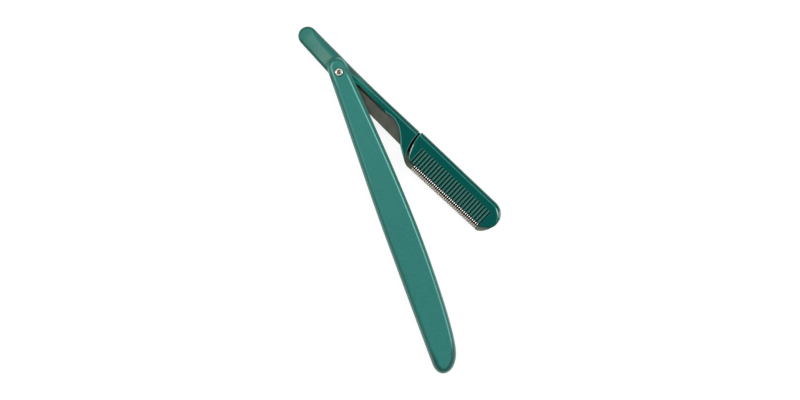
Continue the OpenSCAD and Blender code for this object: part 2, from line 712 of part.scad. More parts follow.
module head_cover_back() {
    color(arm_green)
        arm_place()
            difference() {
                mirror([0, 0, 1])
                    half_cover();
                for (p = cover_peg_spots)
                    translate([p[0], p[1], -blade_t / 2 - cover_peg_len - join_gap])
                        cylinder(r = cover_peg_r + join_gap, h = cover_peg_len + blade_t);
            }
}

handle_front_shell();
handle_back_shell();
pivot_rivet();
rivet_washer();
arm_frame();
blade();
blade_guard();
head_cover_front();
head_cover_back();
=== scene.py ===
# %% [markdown]
# # A folding eyebrow razor
#
# The razor in the photo is a hand tool about 12 cm long: a slotted green handle, an arm that turns in the
# slot on one hollow rivet, and a blade in a ribbed head behind a comb of thin metal fingers. The CAD model
# holds every piece at its real size. This notebook makes each piece again with the fine roundings that catch
# the light, gives it the finish of the real material, and looks at the result from the angle of the photo.

# %% Load the frame
import math
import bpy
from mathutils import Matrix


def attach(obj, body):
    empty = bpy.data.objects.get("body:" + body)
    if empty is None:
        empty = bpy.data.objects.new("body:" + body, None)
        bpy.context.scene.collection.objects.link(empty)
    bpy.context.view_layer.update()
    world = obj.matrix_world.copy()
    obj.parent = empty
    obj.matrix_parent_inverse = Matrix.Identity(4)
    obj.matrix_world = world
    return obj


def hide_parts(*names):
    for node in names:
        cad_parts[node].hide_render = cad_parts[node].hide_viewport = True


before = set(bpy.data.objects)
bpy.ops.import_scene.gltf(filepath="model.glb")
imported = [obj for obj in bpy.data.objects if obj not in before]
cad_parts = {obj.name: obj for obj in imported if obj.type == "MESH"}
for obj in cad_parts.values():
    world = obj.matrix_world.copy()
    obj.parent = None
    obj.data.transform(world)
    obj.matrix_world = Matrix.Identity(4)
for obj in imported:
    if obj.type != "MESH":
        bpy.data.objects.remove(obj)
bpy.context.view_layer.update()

from types import SimpleNamespace

import bmesh
import bpy
import numpy as np
from mathutils import Matrix, Vector

print("pieces in the frame:", sorted(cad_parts))

# %% [markdown]
# ## Millimetres, and what the frame tells
#
# Blender counts in metres, but a razor is easier to think of in millimetres, so every size below is written
# in them, and only the mesh itself is scaled. A new piece has to sit exactly where the old one sat, so the
# reach of the main pieces is measured on the CAD model's own points. The handle lies along X. The pieces of
# the arm are measured and drawn along the arm, with the cutting edge towards -Y, and turned in place later.

# %% Measure the CAD pieces
MM = 0.001
REST_ANGLE = math.radians(27.5)


def reach_of(node, turn=0.0):
    """The lowest and highest corner of a CAD piece in millimetres, in directions turned about the pivot."""
    x, y, z = np.array([point.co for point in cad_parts[node].data.vertices]).T / MM
    c, s = math.cos(turn), math.sin(turn)
    spots = np.array([x * c + y * s, y * c - x * s, z])
    return spots.min(axis=1).tolist(), spots.max(axis=1).tolist()


handle_low, handle_high = reach_of("handle_front_shell")
cover_low, cover_high = reach_of("head_cover_front", REST_ANGLE)
blade_low, blade_high = reach_of("blade", REST_ANGLE)
MID_Z = handle_low[2]
print("handle's far end:", round(handle_high[0], 2), "mm, head:", round(cover_low[0], 2), "to",
      round(cover_high[0], 2), "mm from the pivot")

# %% Gaps between pieces, and how far a cutter stands past what it cuts
JOIN_GAP = 0.03
TURN_GAP = 0.05
CUT_OVER = 1.0
print("gaps round fixed pieces:", JOIN_GAP, "mm, round the turning arm:", TURN_GAP, "mm")

# %% [markdown]
# ## Outlines and rounded edges
#
# Most pieces of the razor are flat mouldings: an outline with a soft edge on both faces. One could bevel them
# with a modifier, but the real edges change in width along the outline, from a broad shoulder on the back to
# a thin lip at the steel. So each outline point carries the width of its own edge as a third number, and an
# edge is a stack of rings, each drawn in by a share of that width. The last ring lies flat just inside the
# face, which keeps the face's shading even. At a corner between a broad and a thin edge the rings would
# cross, so the points there say CORNER instead of a width, and all move towards the mitre.

# %% Curves with an edge width
STEPS = 24


def curve(a, b, c, d, steps=STEPS):
    """A cubic curve from a to d, without its last point."""
    t = np.linspace(0, 1, steps, endpoint=False)[:, None]
    s = 1 - t
    a, b, c, d = (np.array(p, float) for p in (a, b, c, d))
    return s**3 * a + 3 * s * s * t * b + 3 * s * t * t * c + t**3 * d


def arc(centre, radius, start, end, width, steps=STEPS):
    """An arc of a circle, in degrees, without its last point."""
    a = np.radians(np.linspace(start, end, steps, endpoint=False))
    points = [centre[0] + radius * np.cos(a), centre[1] + radius * np.sin(a), np.full(steps, width)]
    return np.stack(points, axis=1)


def chain(points, steps=STEPS):
    """Cubic curves from every third point to the next, without the last point."""
    return np.vstack([curve(*points[i:i + 4], steps) for i in range(0, len(points) - 1, 3)])


def wide(width, *points):
    """The points with the same edge width for each."""
    return [(*point, width) for point in points]


CORNER = math.nan
# More than the share by which any ring of an outline with a corner is drawn in
WIDEST = 1.3


def mitred(outline, move):
    """Gives the points of each CORNER the move that takes them all to where the edges beside it meet."""
    n = len(outline)
    corner = np.isnan(outline[:, 2])
    for first in np.flatnonzero(corner & ~np.roll(corner, 1)):
        run = [i % n for i in range(first, first + n) if corner[first:i + 1].all() and i < n]
        a, b = first - 1, (run[-1] + 1) % n
        start, goal = (outline[i, :2] + WIDEST * move[i] for i in (a, b))
        up, down = outline[a, :2] - outline[a - 1, :2], outline[(b + 1) % n, :2] - outline[b, :2]
        spot = start + np.linalg.solve(np.stack([up, -down], axis=1), goal - start)[0] * up
        move[run] = (spot - outline[run, :2]) / WIDEST
    return move


def drawn_in(outline, share):
    """The outline's points moved inwards by a share of the edge width that each one carries."""
    along = np.roll(outline, -1, axis=0)[:, :2] - np.roll(outline, 1, axis=0)[:, :2]
    inward = np.stack([-along[:, 1], along[:, 0]], axis=1) / np.linalg.norm(along, axis=1)[:, None]
    return outline[:, :2] + share * mitred(outline, outline[:, 2:] * inward)


def ring(outline, share, height):
    flat = drawn_in(outline, share)
    return np.column_stack([flat, np.full(len(flat), height)])


# %% Edge shapes, as pairs of a share of the width and a share of the height
def round_edge(steps=14):
    """A quarter of an ellipse, from the side wall to the face."""
    turn = np.linspace(0, math.pi / 2, steps)
    return [(1 - math.cos(t), math.sin(t)) for t in turn] + [(1.05, 1.0)]


def soft_chamfer(low=0.16, high=0.14, steps=5):
    """A straight slope whose two corners are rounded over these shares of it."""
    def corner(a, b, c):
        t = np.linspace(0, 1, steps)[:, None]
        return (1 - t) ** 2 * np.array(a) + 2 * t * (1 - t) * np.array(b) + t * t * np.array(c)
    foot = corner((0, -low), (0, 0), (low, low))
    top = corner((1 - high, 1 - high), (1, 1), (1 + high, 1))
    return [tuple(p) for p in foot] + [tuple(p) for p in top] + [(1 + 1.5 * high, 1.0)]


print("rings in a rounded edge:", len(round_edge()), "in a soft chamfer:", len(soft_chamfer()))

# %% [markdown]
# ## From rings to a finished piece
#
# A stack of rings becomes a mesh when a band of faces joins each ring to the next, and the first and the last
# ring are closed. The mesh keeps two numbers at every corner of those faces: how far up its edge the corner
# lies, and how wide the edge is there. The finishes read both, so that a pale line follows the moulding
# wherever it turns. Slots and bores are cut afterwards with Boolean modifiers, as a drill or a core would.

# %% From rings to a mesh
def in_scene(name, data):
    """A new object in the scene, made of this data."""
    piece = bpy.data.objects.new(name, data)
    bpy.context.scene.collection.objects.link(piece)
    return piece


def solid(name, rings, axes=(0, 1, 2)):
    """A closed mesh through rings of points. axes says which of X, Y and Z each column of a ring becomes."""
    n = len(rings[0])
    last = (len(rings) - 1) * n
    points = np.vstack(rings)
    placed = np.empty_like(points)
    placed[:, list(axes)] = points
    faces = [[k + i, k + (i + 1) % n, k + n + (i + 1) % n, k + n + i]
             for k in range(0, last, n) for i in range(n)]
    faces += [list(range(n))[::-1], [last + i for i in range(n)]]
    mesh = bpy.data.meshes.new(name)
    mesh.from_pydata((placed * MM).tolist(), [], faces)
    mesh.update()
    return in_scene(name, mesh)


def marked(piece, name, values):
    """Keeps one value for each point of the mesh, and so for each corner of its faces, as an attribute."""
    mesh = piece.data
    points = np.empty(len(mesh.loops), np.int32)
    mesh.loops.foreach_get("vertex_index", points)
    mesh.attributes.new(name, "FLOAT", "CORNER").data.foreach_set("value", np.float32(values)[points])


def edged(name, outline, stack):
    """A moulding through a stack of (share, height), which remembers each point's share and edge width."""
    piece = solid(name, [ring(outline, s, z) for s, z in stack])
    marked(piece, "edge", np.repeat([s for s, _ in stack], len(outline)))
    marked(piece, "edge_width", np.tile(np.nan_to_num(outline[:, 2]), len(stack)))
    return piece


def upper_layers(edge, height, high):
    """The stack whose edge shape starts at a height below the face and ends in it."""
    return [(s, high - height * (1 - h)) for s, h in edge]


def all_layers(edge, height, low, high):
    """The stack with the same edge shape on the lower and the upper face."""
    return [(s, low + height * (1 - h)) for s, h in reversed(edge)] + upper_layers(edge, height, high)


# %% Cutting, placing and finishing a piece
def settled(piece):
    """Turns what the modifiers make into the piece's plain mesh."""
    mesh = bpy.data.meshes.new_from_object(piece.evaluated_get(bpy.context.evaluated_depsgraph_get()))
    piece.modifiers.clear()
    piece.data = mesh
    return piece


def cut(piece, *cutters):
    for cutter in cutters:
        boolean = piece.modifiers.new("cut", "BOOLEAN")
        boolean.operation = "DIFFERENCE"
        boolean.solver = "EXACT"
        boolean.object = cutter
    settled(piece)
    for cutter in cutters:
        bpy.data.objects.remove(cutter)
    return piece


def drum(name, radius, low, high, centre=(0, 0), steps=64):
    """A round bar along Z, to cut a hole with."""
    wall = arc(centre, radius, 0, 360, 0, steps)
    return solid(name, [ring(wall, 0, low), ring(wall, 0, high)])


def slab(name, points, low, high):
    """A flat bar with straight sides, to cut a slot with."""
    outline = np.array([(*p, 0) for p in points], float)
    return solid(name, [ring(outline, 0, low), ring(outline, 0, high)])


TO_MIDDLE = Matrix.Translation((0, 0, MID_Z * MM))
TURNED_OVER = Matrix.Scale(-1, 4, (0, 0, 1))
ARM_PLACE = TO_MIDDLE @ Matrix.Rotation(REST_ANGLE, 4, "Z")


def on_arm(piece):
    piece.data.transform(ARM_PLACE)
    return piece


def finished(piece, material, node, body, sharp=32):
    """Shades the piece, gives it its finish, hides the CAD piece that it stands for, and hangs it on the body
    it moves with.
    """
    mesh = piece.data
    merged = bmesh.new()
    merged.from_mesh(mesh)
    bmesh.ops.remove_doubles(merged, verts=merged.verts, dist=1e-7)
    bmesh.ops.recalc_face_normals(merged, faces=merged.faces)
    merged.to_mesh(mesh)
    merged.free()
    mesh.shade_smooth()
    mesh.set_sharp_from_angle(angle=math.radians(sharp))
    mesh.materials.clear()
    mesh.materials.append(material)
    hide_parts(node)
    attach(piece, body)
    print(piece.name, "has", len(mesh.polygons), "faces")
    return piece


# %% [markdown]
# ## Writing node trees as Python
#
# A material's pattern is arithmetic: a noise times a strength, plus a base value. In the node editor that is
# a row of Math nodes; in a script it reads best as the sum itself. The small class below wraps a socket, so
# that `0.4 + 0.1 * grain` adds the Math nodes for it. Every other node comes from one method, `Tree.add`,
# which takes the node's type, its settings and what goes into its sockets.

# %% A socket that can be reckoned with
class Value:
    def __init__(self, tree, socket):
        self.tree = tree
        self.socket = socket

    def __add__(self, other):
        return self.tree.math("ADD", self, other)

    def __radd__(self, other):
        return self.tree.math("ADD", other, self)

    def __sub__(self, other):
        return self.tree.math("SUBTRACT", self, other)

    def __rsub__(self, other):
        return self.tree.math("SUBTRACT", other, self)

    def __mul__(self, other):
        return self.tree.math("MULTIPLY", self, other)

    def __rmul__(self, other):
        return self.tree.math("MULTIPLY", other, self)

    def __truediv__(self, other):
        return self.tree.math("DIVIDE", self, other)

    def __rtruediv__(self, other):
        return self.tree.math("DIVIDE", other, self)


# %% A tree with one way to add a node
class Tree:
    def __init__(self, nodes, links):
        self.nodes = nodes
        self.links = links

    def add(self, kind, settings=None, sockets=None, out=0):
        node = self.nodes.new(kind)
        for name, value in (settings or {}).items():
            setattr(node, name, value)
        for name, value in (sockets or {}).items():
            self.feed(node.inputs[name], value)
        return Value(self, node.outputs[out]) if len(node.outputs) else node

    def feed(self, socket, value):
        if isinstance(value, Value):
            self.links.new(value.socket, socket)
        else:
            socket.default_value = value

    def math(self, operation, *terms):
        return self.add("ShaderNodeMath", {"operation": operation}, dict(enumerate(terms)))

    def along(self, x=1.0, y=1.0, z=1.0, turn=0.0):
        """Object coordinates in metres, stretched and turned about Z."""
        place = self.add("ShaderNodeTexCoord", out="Object")
        turned = self.add("ShaderNodeMapping", {}, {"Vector": place, "Rotation": (0, 0, turn)})
        return self.add("ShaderNodeMapping", {}, {"Vector": turned, "Scale": (x, y, z)})

    def noise(self, where, scale, detail=2.0, roughness=0.5):
        """A noise from 0 to 1 with the given number of lumps to a metre."""
        return self.add("ShaderNodeTexNoise", {}, {"Vector": where, "Scale": scale, "Detail": detail,
                                                  "Roughness": roughness}, out="Fac")

    def most(self, value, *others):
        """The largest of several values."""
        for other in others:
            value = self.math("MAXIMUM", value, other)
        return value

    def blend(self, amount, a, b):
        """From colour a to colour b. A colour is a link, or its red, green and blue."""
        a, b = (c if isinstance(c, Value) else (*c, 1) for c in (a, b))
        return self.add("ShaderNodeMix", {"data_type": "RGBA"}, {"Factor": amount, 6: a, 7: b}, out=2)

    def mark(self, name):
        """What the mesh keeps of its moulding. "edge" is 0 at the outline and 1 where the bevel meets the
        face, and "edge_width" is the bevel's width in millimetres."""
        return self.add("ShaderNodeAttribute", {"attribute_name": name}, out="Fac")

    def millimetres(self, turn=0.0, height=0.0):
        """Object coordinates in millimetres, along and across the handle or the arm, and above height."""
        place = self.add("ShaderNodeMapping", {}, {
            "Vector": self.add("ShaderNodeTexCoord", out="Object"), "Rotation": (0, 0, -turn),
            "Scale": (1000, 1000, 1000), "Location": (0, 0, -height)})
        parts = self.add("ShaderNodeSeparateXYZ", {}, {"Vector": place}).socket.node
        return [Value(self, part) for part in parts.outputs]

    def between(self, value, low, high, to_low=0.0, to_high=1.0):
        """The value's place between low and high, eased at both ends."""
        return self.add("ShaderNodeMapRange", {"interpolation_type": "SMOOTHSTEP"}, {
            "Value": value, "From Min": low, "From Max": high, "To Min": to_low, "To Max": to_high})

    def fall(self, value, low, high):
        """1 up to low, and 0 from high on."""
        return self.between(value, low, high, 1, 0)

    def band(self, value, low, rise, fall, high):
        """1 from rise to fall, and 0 up to low and from high on."""
        return self.between(value, low, rise) * self.fall(value, fall, high)


# %% A material from a function
def material(name, build):
    """A material whose Principled BSDF is fed by the function build, from socket name to value."""
    made = bpy.data.materials.new(name)
    made.use_nodes = True
    tree = Tree(made.node_tree.nodes, made.node_tree.links)
    shader = made.node_tree.nodes["Principled BSDF"]
    for socket, value in build(tree).items():
        tree.feed(shader.inputs[socket], value)
    print(name, "has", len(tree.nodes), "nodes")
    return made


def grain(tree, heights, depth, strength):
    """Normals that follow a height from 0 to 1, where 1 stands depth metres proud."""
    return tree.add("ShaderNodeBump", {}, {"Strength": strength, "Distance": depth, "Height": heights})


def from_pivot(tree):
    """The distance from the pivot's axis, in millimetres."""
    x, y, _ = tree.millimetres()
    return tree.math("SQRT", x * x + y * y)


# %% [markdown]
# ## The handle's plastic
#
# The handle and the arm are both green mouldings, but they don't look alike. The handle has the fine grain of
# a mould that was left matt, so it scatters the light and looks paler. Its tone changes slowly along the
# face, with small pale specks in it. Its edge carries three lines of painted light: a painted shade low on
# the bevel, a pale painted rim light beside the wall, and on the slot side a painted highlight where the
# bevel meets the face. Each is a mask on the edge that the mesh keeps.

# %% Sizes of the handle
HANDLE_REACH = handle_high[0]
HANDLE_BELLY = handle_high[1]
HANDLE_BACK = 3.55
PIVOT_END_R = 3.2
PIVOT_END_SHIFT = 1.7
SLOT_SIDE_TURN = 94.9
EDGE_W = 1.15
BACK_EDGE_W = 1.38
EDGE_H = 1.0
BACK_START = 15.0
FLOOR_DEPTH = HANDLE_BACK - 1.3
SLOT_HALF = 1.75
SLOT_END = HANDLE_REACH - 12.0
POST_R = 1.2
print("slot:", 2 * SLOT_HALF, "mm wide, to", round(SLOT_END, 1), "mm from the pivot")

# %% The lines on the handle's edge
def handle_painted_shade(tree, at, tone):
    """A painted shade on the lower part of the bevel, narrower on the back."""
    band = tree.blend(at.slot_side, (0.013, 0.145, 0.112), (0.030, 0.185, 0.146))
    band = tree.blend(at.end, band, (0.012, 0.100, 0.080))
    inner = at.edge - at.back * (0.22 + 0.2 * at.far + 0.2 * at.end)
    return tree.blend(tree.fall(inner, 0.6, 0.88), tone, band)


def handle_painted_rim_light(tree, at, tone):
    """A painted rim light, a pale line beside the wall: on the back, towards the far end, and on two sides of
    the round end.
    """
    round_end = tree.fall(at.x, -1.5, 1)
    painted_rim = tree.blend(at.far, (0.14, 0.35, 0.31), (0.19, 0.34, 0.31))
    painted_rim = tree.blend(round_end, painted_rim, (0.17, 0.42, 0.37))
    facing = round_end * tree.most(tree.between(at.y, -0.3, 1.6), tree.fall(at.y, -3.1, -1.9))
    on_bevel = tree.between(at.z, MID_Z - 1.4 * EDGE_H, MID_Z - EDGE_H)
    light = tree.most(at.back, at.far, facing, 0.2) * on_bevel
    reach = 0.45 + 0.3 * at.back + 0.2 * round_end
    return tree.blend(tree.fall(at.edge, 0.1 + 0.12 * round_end, reach) * light, tone, painted_rim)


def handle_painted_crest_highlight(tree, at, tone):
    """A painted highlight, a bright line where the bevel meets the face: beside the slot, and on the back
    near the pivot.
    """
    line = tree.band(at.edge, 0.70, 0.90, 0.99, 1.21)
    beside_slot = tree.between(at.x, 0.5, 3) * at.slot_side * (1 - 0.35 * at.far)
    lower_corner = tree.fall(at.y, -1.4, 0) * tree.between(at.x, -1, 6, 0.8, 0.24) * tree.between(
        at.x, 25, 50, 1, 0.2)
    return tree.blend(line * (1 - at.end) * tree.most(beside_slot, lower_corner, 0.02), tone,
                      (0.20, 0.58, 0.50))


# %% The handle's satin plastic
def handle_face(tree, at, cloud, specks):
    tone = tree.blend(cloud, (0.021, 0.186, 0.160), (0.026, 0.206, 0.178))
    tone = tree.blend(tree.between(at.x, 8, 60, 0.8, 0), tone, (0.030, 0.226, 0.194))
    return tree.blend(tree.between(specks, 0.3, 0.75, 0, 0.4), tone, (0.05, 0.26, 0.225))


def handle_finish(tree):
    place = tree.along()
    fine = tree.noise(place, 9000, 3, 0.6)
    cloud = tree.noise(place, 70, 2)
    x, y, z = tree.millimetres(height=MID_Z)
    end = tree.between(x, 92, 97)
    slot_side = tree.most(tree.between(y, -1.5, 0.5), tree.fall(x, 1, 4)) * (1 - end)
    at = SimpleNamespace(x=x, y=y, z=tree.math("ABSOLUTE", z), edge=tree.mark("edge"),
                         far=tree.between(x, 50, 75), end=end, slot_side=slot_side, back=1 - slot_side)
    tone = handle_face(tree, at, cloud, tree.noise(place, 1500, 3, 0.6))
    for line in (handle_painted_shade, handle_painted_rim_light, handle_painted_crest_highlight):
        tone = line(tree, at, tone)
    return {
        "Base Color": tone,
        "Roughness": 0.30 + 0.10 * fine + 0.05 * cloud,
        "Specular IOR Level": 0.3,
        "Normal": grain(tree, fine, 0.00002, 0.3),
    }


HANDLE_PLASTIC = material("handle_plastic", handle_finish)

# %% [markdown]
# ## The handle's two shells
#
# The handle is moulded in two shells that meet at mid-thickness and leave a slot for the arm. Its outline is
# a slim leaf: nearly straight at the back and full on the slot side, with a round end at the pivot. It is a
# chain of cubic curves in the CAD model, and the same curves give the same handle here. The edge is a slope
# with rounded corners. The slot, the bore and the rivet's recess are cut afterwards, and two posts are left
# standing in the slot. A hair of a bevel where the shells meet shows the seam.

# %% The handle's outline
def handle_point(x, y):
    side, width = (HANDLE_BELLY, EDGE_W) if y > 0 else (HANDLE_BACK, BACK_EDGE_W)
    return (x * HANDLE_REACH, y * side, width)


BACK_SIDE = [handle_point(*p) for p in (
    (0.137, -0.9), (0.353, -1.02), (0.49, -1), (0.627, -0.96), (0.889, -0.838), (0.961, -0.785),
    (0.986, -0.74), (1, -0.39))]
SLOT_SIDE = [handle_point(*p) for p in (
    (1, 0.054), (1, 0.4), (0.971, 0.667), (0.946, 0.757), (0.897, 0.94), (0.78, 1), (0.657, 1),
    (0.425, 1), (0.19, 0.664))]
PIVOT_END = arc((-PIVOT_END_SHIFT, 0), PIVOT_END_R, SLOT_SIDE_TURN, 270, BACK_EDGE_W)
LOWEST = (-PIVOT_END_SHIFT, -PIVOT_END_R, BACK_EDGE_W)
HANDLE_OUTLINE = np.vstack([chain([LOWEST, *BACK_SIDE, *SLOT_SIDE, PIVOT_END[0]]), PIVOT_END])
print("points in the handle's outline:", len(HANDLE_OUTLINE))

# %% Sizes of the rivet, which the shells are cut for
RIVET_R = 0.9
RIVET_BORE_R = 0.5
RIVET_HEAD_R = 1.35
RECESS_R = 1.6
FRONT_RECESS = 0.5
RIM_R = 1.2
RIM_H = 0.3
WASHER_R = 1.5
WASHER_T = 0.25
print("rivet's bore:", 2 * RIVET_BORE_R, "mm, in a bore of", 2 * (RIVET_R + JOIN_GAP), "mm")

# %% Both shells
SEAM = 0.05
HANDLE_EDGE = soft_chamfer(0.4, 0.2, 8)[:-1] + [(1.6, 1.0)]


def slot_cutter():
    """The mould's core for the slot, with the two holes in which the posts between the cheeks are moulded."""
    corner = FLOOR_DEPTH / 2
    past_back, past_belly = HANDLE_BACK + 2 * CUT_OVER, HANDLE_BELLY + 2 * CUT_OVER
    turn = arc((SLOT_END - corner, corner - FLOOR_DEPTH), corner, 270, 360, 0, 12)
    core = slab("slot_cutter", [
        (-PIVOT_END_SHIFT - past_back, past_belly), (-PIVOT_END_SHIFT - past_back, -past_back),
        (BACK_START, -past_back), (BACK_START, -FLOOR_DEPTH), *turn[:, :2].tolist(),
        (SLOT_END, corner - FLOOR_DEPTH), (SLOT_END, past_belly)], -CUT_OVER, SLOT_HALF)
    post_y = POST_R / 3 - FLOOR_DEPTH
    posts = [(BACK_START + 4 * POST_R, post_y), (cover_high[0] + 2 * POST_R, post_y)]
    return cut(core, *[drum("post_hole", POST_R, -2 * CUT_OVER, SLOT_HALF + CUT_OVER, p) for p in posts])


def shell(name, recess):
    """One shell, with the mid-plane at height 0 and its face upwards."""
    seam = [(SEAM / EDGE_W, 0), (0.3 * SEAM / EDGE_W, 0.3 * SEAM), (0, SEAM)]
    return cut(
        edged(name, HANDLE_OUTLINE, seam + upper_layers(HANDLE_EDGE, EDGE_H, MID_Z)),
        slot_cutter(),
        drum("bore_cutter", RIVET_R + JOIN_GAP, -CUT_OVER, MID_Z + CUT_OVER),
        drum("recess_cutter", RECESS_R, MID_Z - recess, MID_Z + CUT_OVER))


for face, recess, place in (
        ("front", FRONT_RECESS, TO_MIDDLE), ("back", RIM_H + WASHER_T, TO_MIDDLE @ TURNED_OVER)):
    half = shell("handle_" + face, recess)
    half.data.transform(place)
    finished(half, HANDLE_PLASTIC, f"handle_{face}_shell", "handle")

# %% [markdown]
# ## The hollow rivet
#
# The pivot is a tubular rivet: a tube whose front end is rolled outwards into a bright ring, and whose back
# end is upset over a washer. Such a part is a profile spun round an axis. This one has the half circle of the
# rolled head in front and a little funnel at the back. Its nickel is worn to a warm tone inside the mouth,
# and dulled by fine pits and a thin film.

# %% Plated rivet
def rivet_finish(tree):
    place = tree.along()
    pits = tree.noise(place, 3500, 3)
    film = tree.noise(place, 900, 2)
    plated = tree.blend(film, (0.68, 0.68, 0.56), (0.86, 0.86, 0.76))
    inside = tree.fall(from_pivot(tree), RIVET_BORE_R, 1.36 * RIVET_BORE_R)
    return {
        "Base Color": tree.blend(inside, plated, (0.42, 0.33, 0.24)),
        "Metallic": 1.0,
        "Roughness": 0.28 + 0.12 * pits,
        "Normal": grain(tree, pits, 0.00001, 0.2),
    }


RIVET_METAL = material("rivet_metal", rivet_finish)

# %% Turn the rivet and its washer
def turned(name, profile, steps=72):
    """A closed profile of (radius, height), turned about the Z axis."""
    n = len(profile)
    total = n * steps
    points = [(r * MM * math.cos(a), r * MM * math.sin(a), z * MM)
              for a in np.linspace(0, 2 * math.pi, steps, endpoint=False) for r, z in profile]
    faces = [[k + i, (k + n) % total + i, (k + n) % total + (i + 1) % n, k + (i + 1) % n]
             for k in range(0, total, n) for i in range(n)]
    mesh = bpy.data.meshes.new(name)
    mesh.from_pydata(points, [], faces)
    return in_scene(name, mesh)


HEAD_Z = 2 * MID_Z - FRONT_RECESS
ROLL = (RIVET_HEAD_R - RIVET_BORE_R) / 2
rolled_head = [(RIVET_BORE_R + ROLL + ROLL * math.cos(a), HEAD_Z + ROLL * math.sin(a))
               for a in np.linspace(0, math.pi, 17)]
rivet_profile = [
    (RIM_R - 0.06, 0.0), (RIM_R, 0.06), (RIM_R, RIM_H - 0.05), (RIM_R - 0.05, RIM_H), (RIVET_R, RIM_H),
    (RIVET_R, HEAD_Z), *rolled_head, (RIVET_BORE_R, HEAD_Z - 0.2), (RIVET_BORE_R, 0.15),
    (RIVET_BORE_R + 0.03, 0.06), (RIVET_BORE_R + 0.1, 0.0)]
finished(turned("rivet", rivet_profile), RIVET_METAL, "pivot_rivet", "handle")

washer_top = RIM_H + WASHER_T
washer_profile = [(RIVET_R + JOIN_GAP, RIM_H), (WASHER_R - 0.04, RIM_H), (WASHER_R, RIM_H + 0.04),
                  (WASHER_R, washer_top), (RIVET_R + JOIN_GAP, washer_top)]
finished(turned("washer", washer_profile), RIVET_METAL, "rivet_washer", "handle")

# %% [markdown]
# ## The arm and its head
#
# Beyond the rivet come a tail for the thumb on one side, and a spine, a neck and the head on the other. The
# head's sizes come before the plastic, because the finish has to know where the ribs and the edge lie.

# %% Sizes of the arm
ARM_HALF = cover_high[2] - MID_Z
BEVEL_H = 0.45
TAIL_CENTRE = (-15.2, 1.65)
TAIL_R = 3.03
SPINE_REACH = 20.9
NECK_LEN = 14.3
NECK_BACK = 3.7
NECK_DROP = 6.7
SEAM_GAP = 0.45
SIDE = 0.2
print("arm:", round(2 * ARM_HALF, 2), "mm thick, tail:", round(TAIL_R - TAIL_CENTRE[0], 2), "mm long")

# %% Sizes of the head
HEAD_X, HEAD_END = cover_low[0], cover_high[0]
HEAD_LEN = HEAD_END - HEAD_X
HEAD_BACK = cover_high[1]
COVER_DROP = -cover_low[1]
HEAD_H = HEAD_BACK + COVER_DROP
NECK_CORNER = HEAD_X - SEAM_GAP
RECESS_DROP = 5.2
COVER_BEVEL_H = 0.5
COVER_BEVEL = 1.15
HEEL_EDGE = 0.3
GROOVES, GROOVE_PITCH, GROOVE_TOP, GROOVE_DEPTH = 26, 1.173, 0.42, 0.35
FIRST_GROOVE = HEAD_X + 0.11 * HEAD_LEN
print("head:", round(HEAD_LEN, 2), "by", round(HEAD_H, 2), "mm, with", GROOVES, "grooves")

# %% Sizes of the blade
BLADE_HALF = (blade_high[2] - blade_low[2]) / 2
STEEL_TOP = blade_high[1]
TANG_TOP = 2.4
HEEL = (HEAD_X + 4.25, blade_low[1])
EDGE_REACH = 5.75
EDGE_DROP = 7.0
EDGE_START = (HEAD_X + EDGE_REACH, -EDGE_DROP)
EDGE_SLOPE = math.radians(0.55)
EDGE_LEN = 0.891 * HEAD_LEN - EDGE_REACH
EDGE_END = EDGE_START[0] + EDGE_LEN
GRIND_W = 0.95
OVER_EDGE = EDGE_DROP - RECESS_DROP
print("cutting edge:", round(EDGE_LEN, 1), "mm long")

# %% Where a point lies beside the cutting edge
def edge_y(x):
    return EDGE_START[1] + (x - EDGE_START[0]) * math.tan(EDGE_SLOPE)


def above_edge(x, y):
    """The distance from the cutting edge, in millimetres."""
    return y - edge_y(x)


def beside_edge(tree, x):
    """1 along the cutting edge, 0 past its ends."""
    return tree.band(x, EDGE_START[0], EDGE_START[0] + 0.1, EDGE_END - 0.1, EDGE_END)


# %% [markdown]
# ## The arm's plastic
#
# The arm and the head come from a smoother mould than the handle. Their flat faces look nearly black green
# until an edge catches the light, so most of what one sees is edges, and their light and shade are painted
# into the colour: broad bevels with a painted pale rim and a painted bright crest, thin lips painted pale all
# over, and 25 ribs painted dark on one side and bright on the other, with painted shade in the grooves. The
# tail's pale panel is partly a painted reflection. The finish is a pile of layers, one short function each,
# and every layer takes the tone so far and lays its own over it.

# %% The faces of the arm
def face_tone(tree, at, mottle):
    """The head and the spine: nearly black green, greener past the pivot, and a painted shade beside the
    handle.
    """
    head = tree.blend(mottle, (0.0010, 0.082, 0.070), (0.0022, 0.097, 0.085))
    spine = tree.blend(tree.between(at.x, 6, 15), (0.0015, 0.170, 0.128), (0.003, 0.112, 0.092))
    spine = tree.blend(tree.between(at.x, 14, 24), spine, head)
    # a painted shade darkens the spine near the pivot, where it runs into the handle
    return tree.blend(tree.between(at.x, 4, 6.5, 0.8, 0), spine, (0.002, 0.050, 0.040))


def tail_tone(tree, at, mottle):
    """The tail: a satin panel, pale partly from a painted reflection that grows towards the pivot, and round
    it a bevel with a painted shade on the lower side, so it is lighter on the back.
    """
    painted_reflection_panel = tree.blend(tree.between(at.y, -1, 2), (0.062, 0.222, 0.182), (0.086, 0.268, 0.228))
    painted_reflection_panel = tree.blend(tree.between(at.x, -13, -6), painted_reflection_panel, (0.125, 0.285, 0.235))
    painted_reflection_panel = tree.blend(0.5 * mottle, painted_reflection_panel, (0.050, 0.205, 0.170))
    painted_shade_bevel = tree.blend(tree.between(at.y, -1, 0.5), (0.016, 0.13, 0.105), (0.018, 0.195, 0.157))
    on_panel = tree.between(at.edge, 1.01, 1.16) * tree.between(at.x, -16, -14, 0.4, 1)
    return tree.blend(on_panel, painted_shade_bevel, painted_reflection_panel)


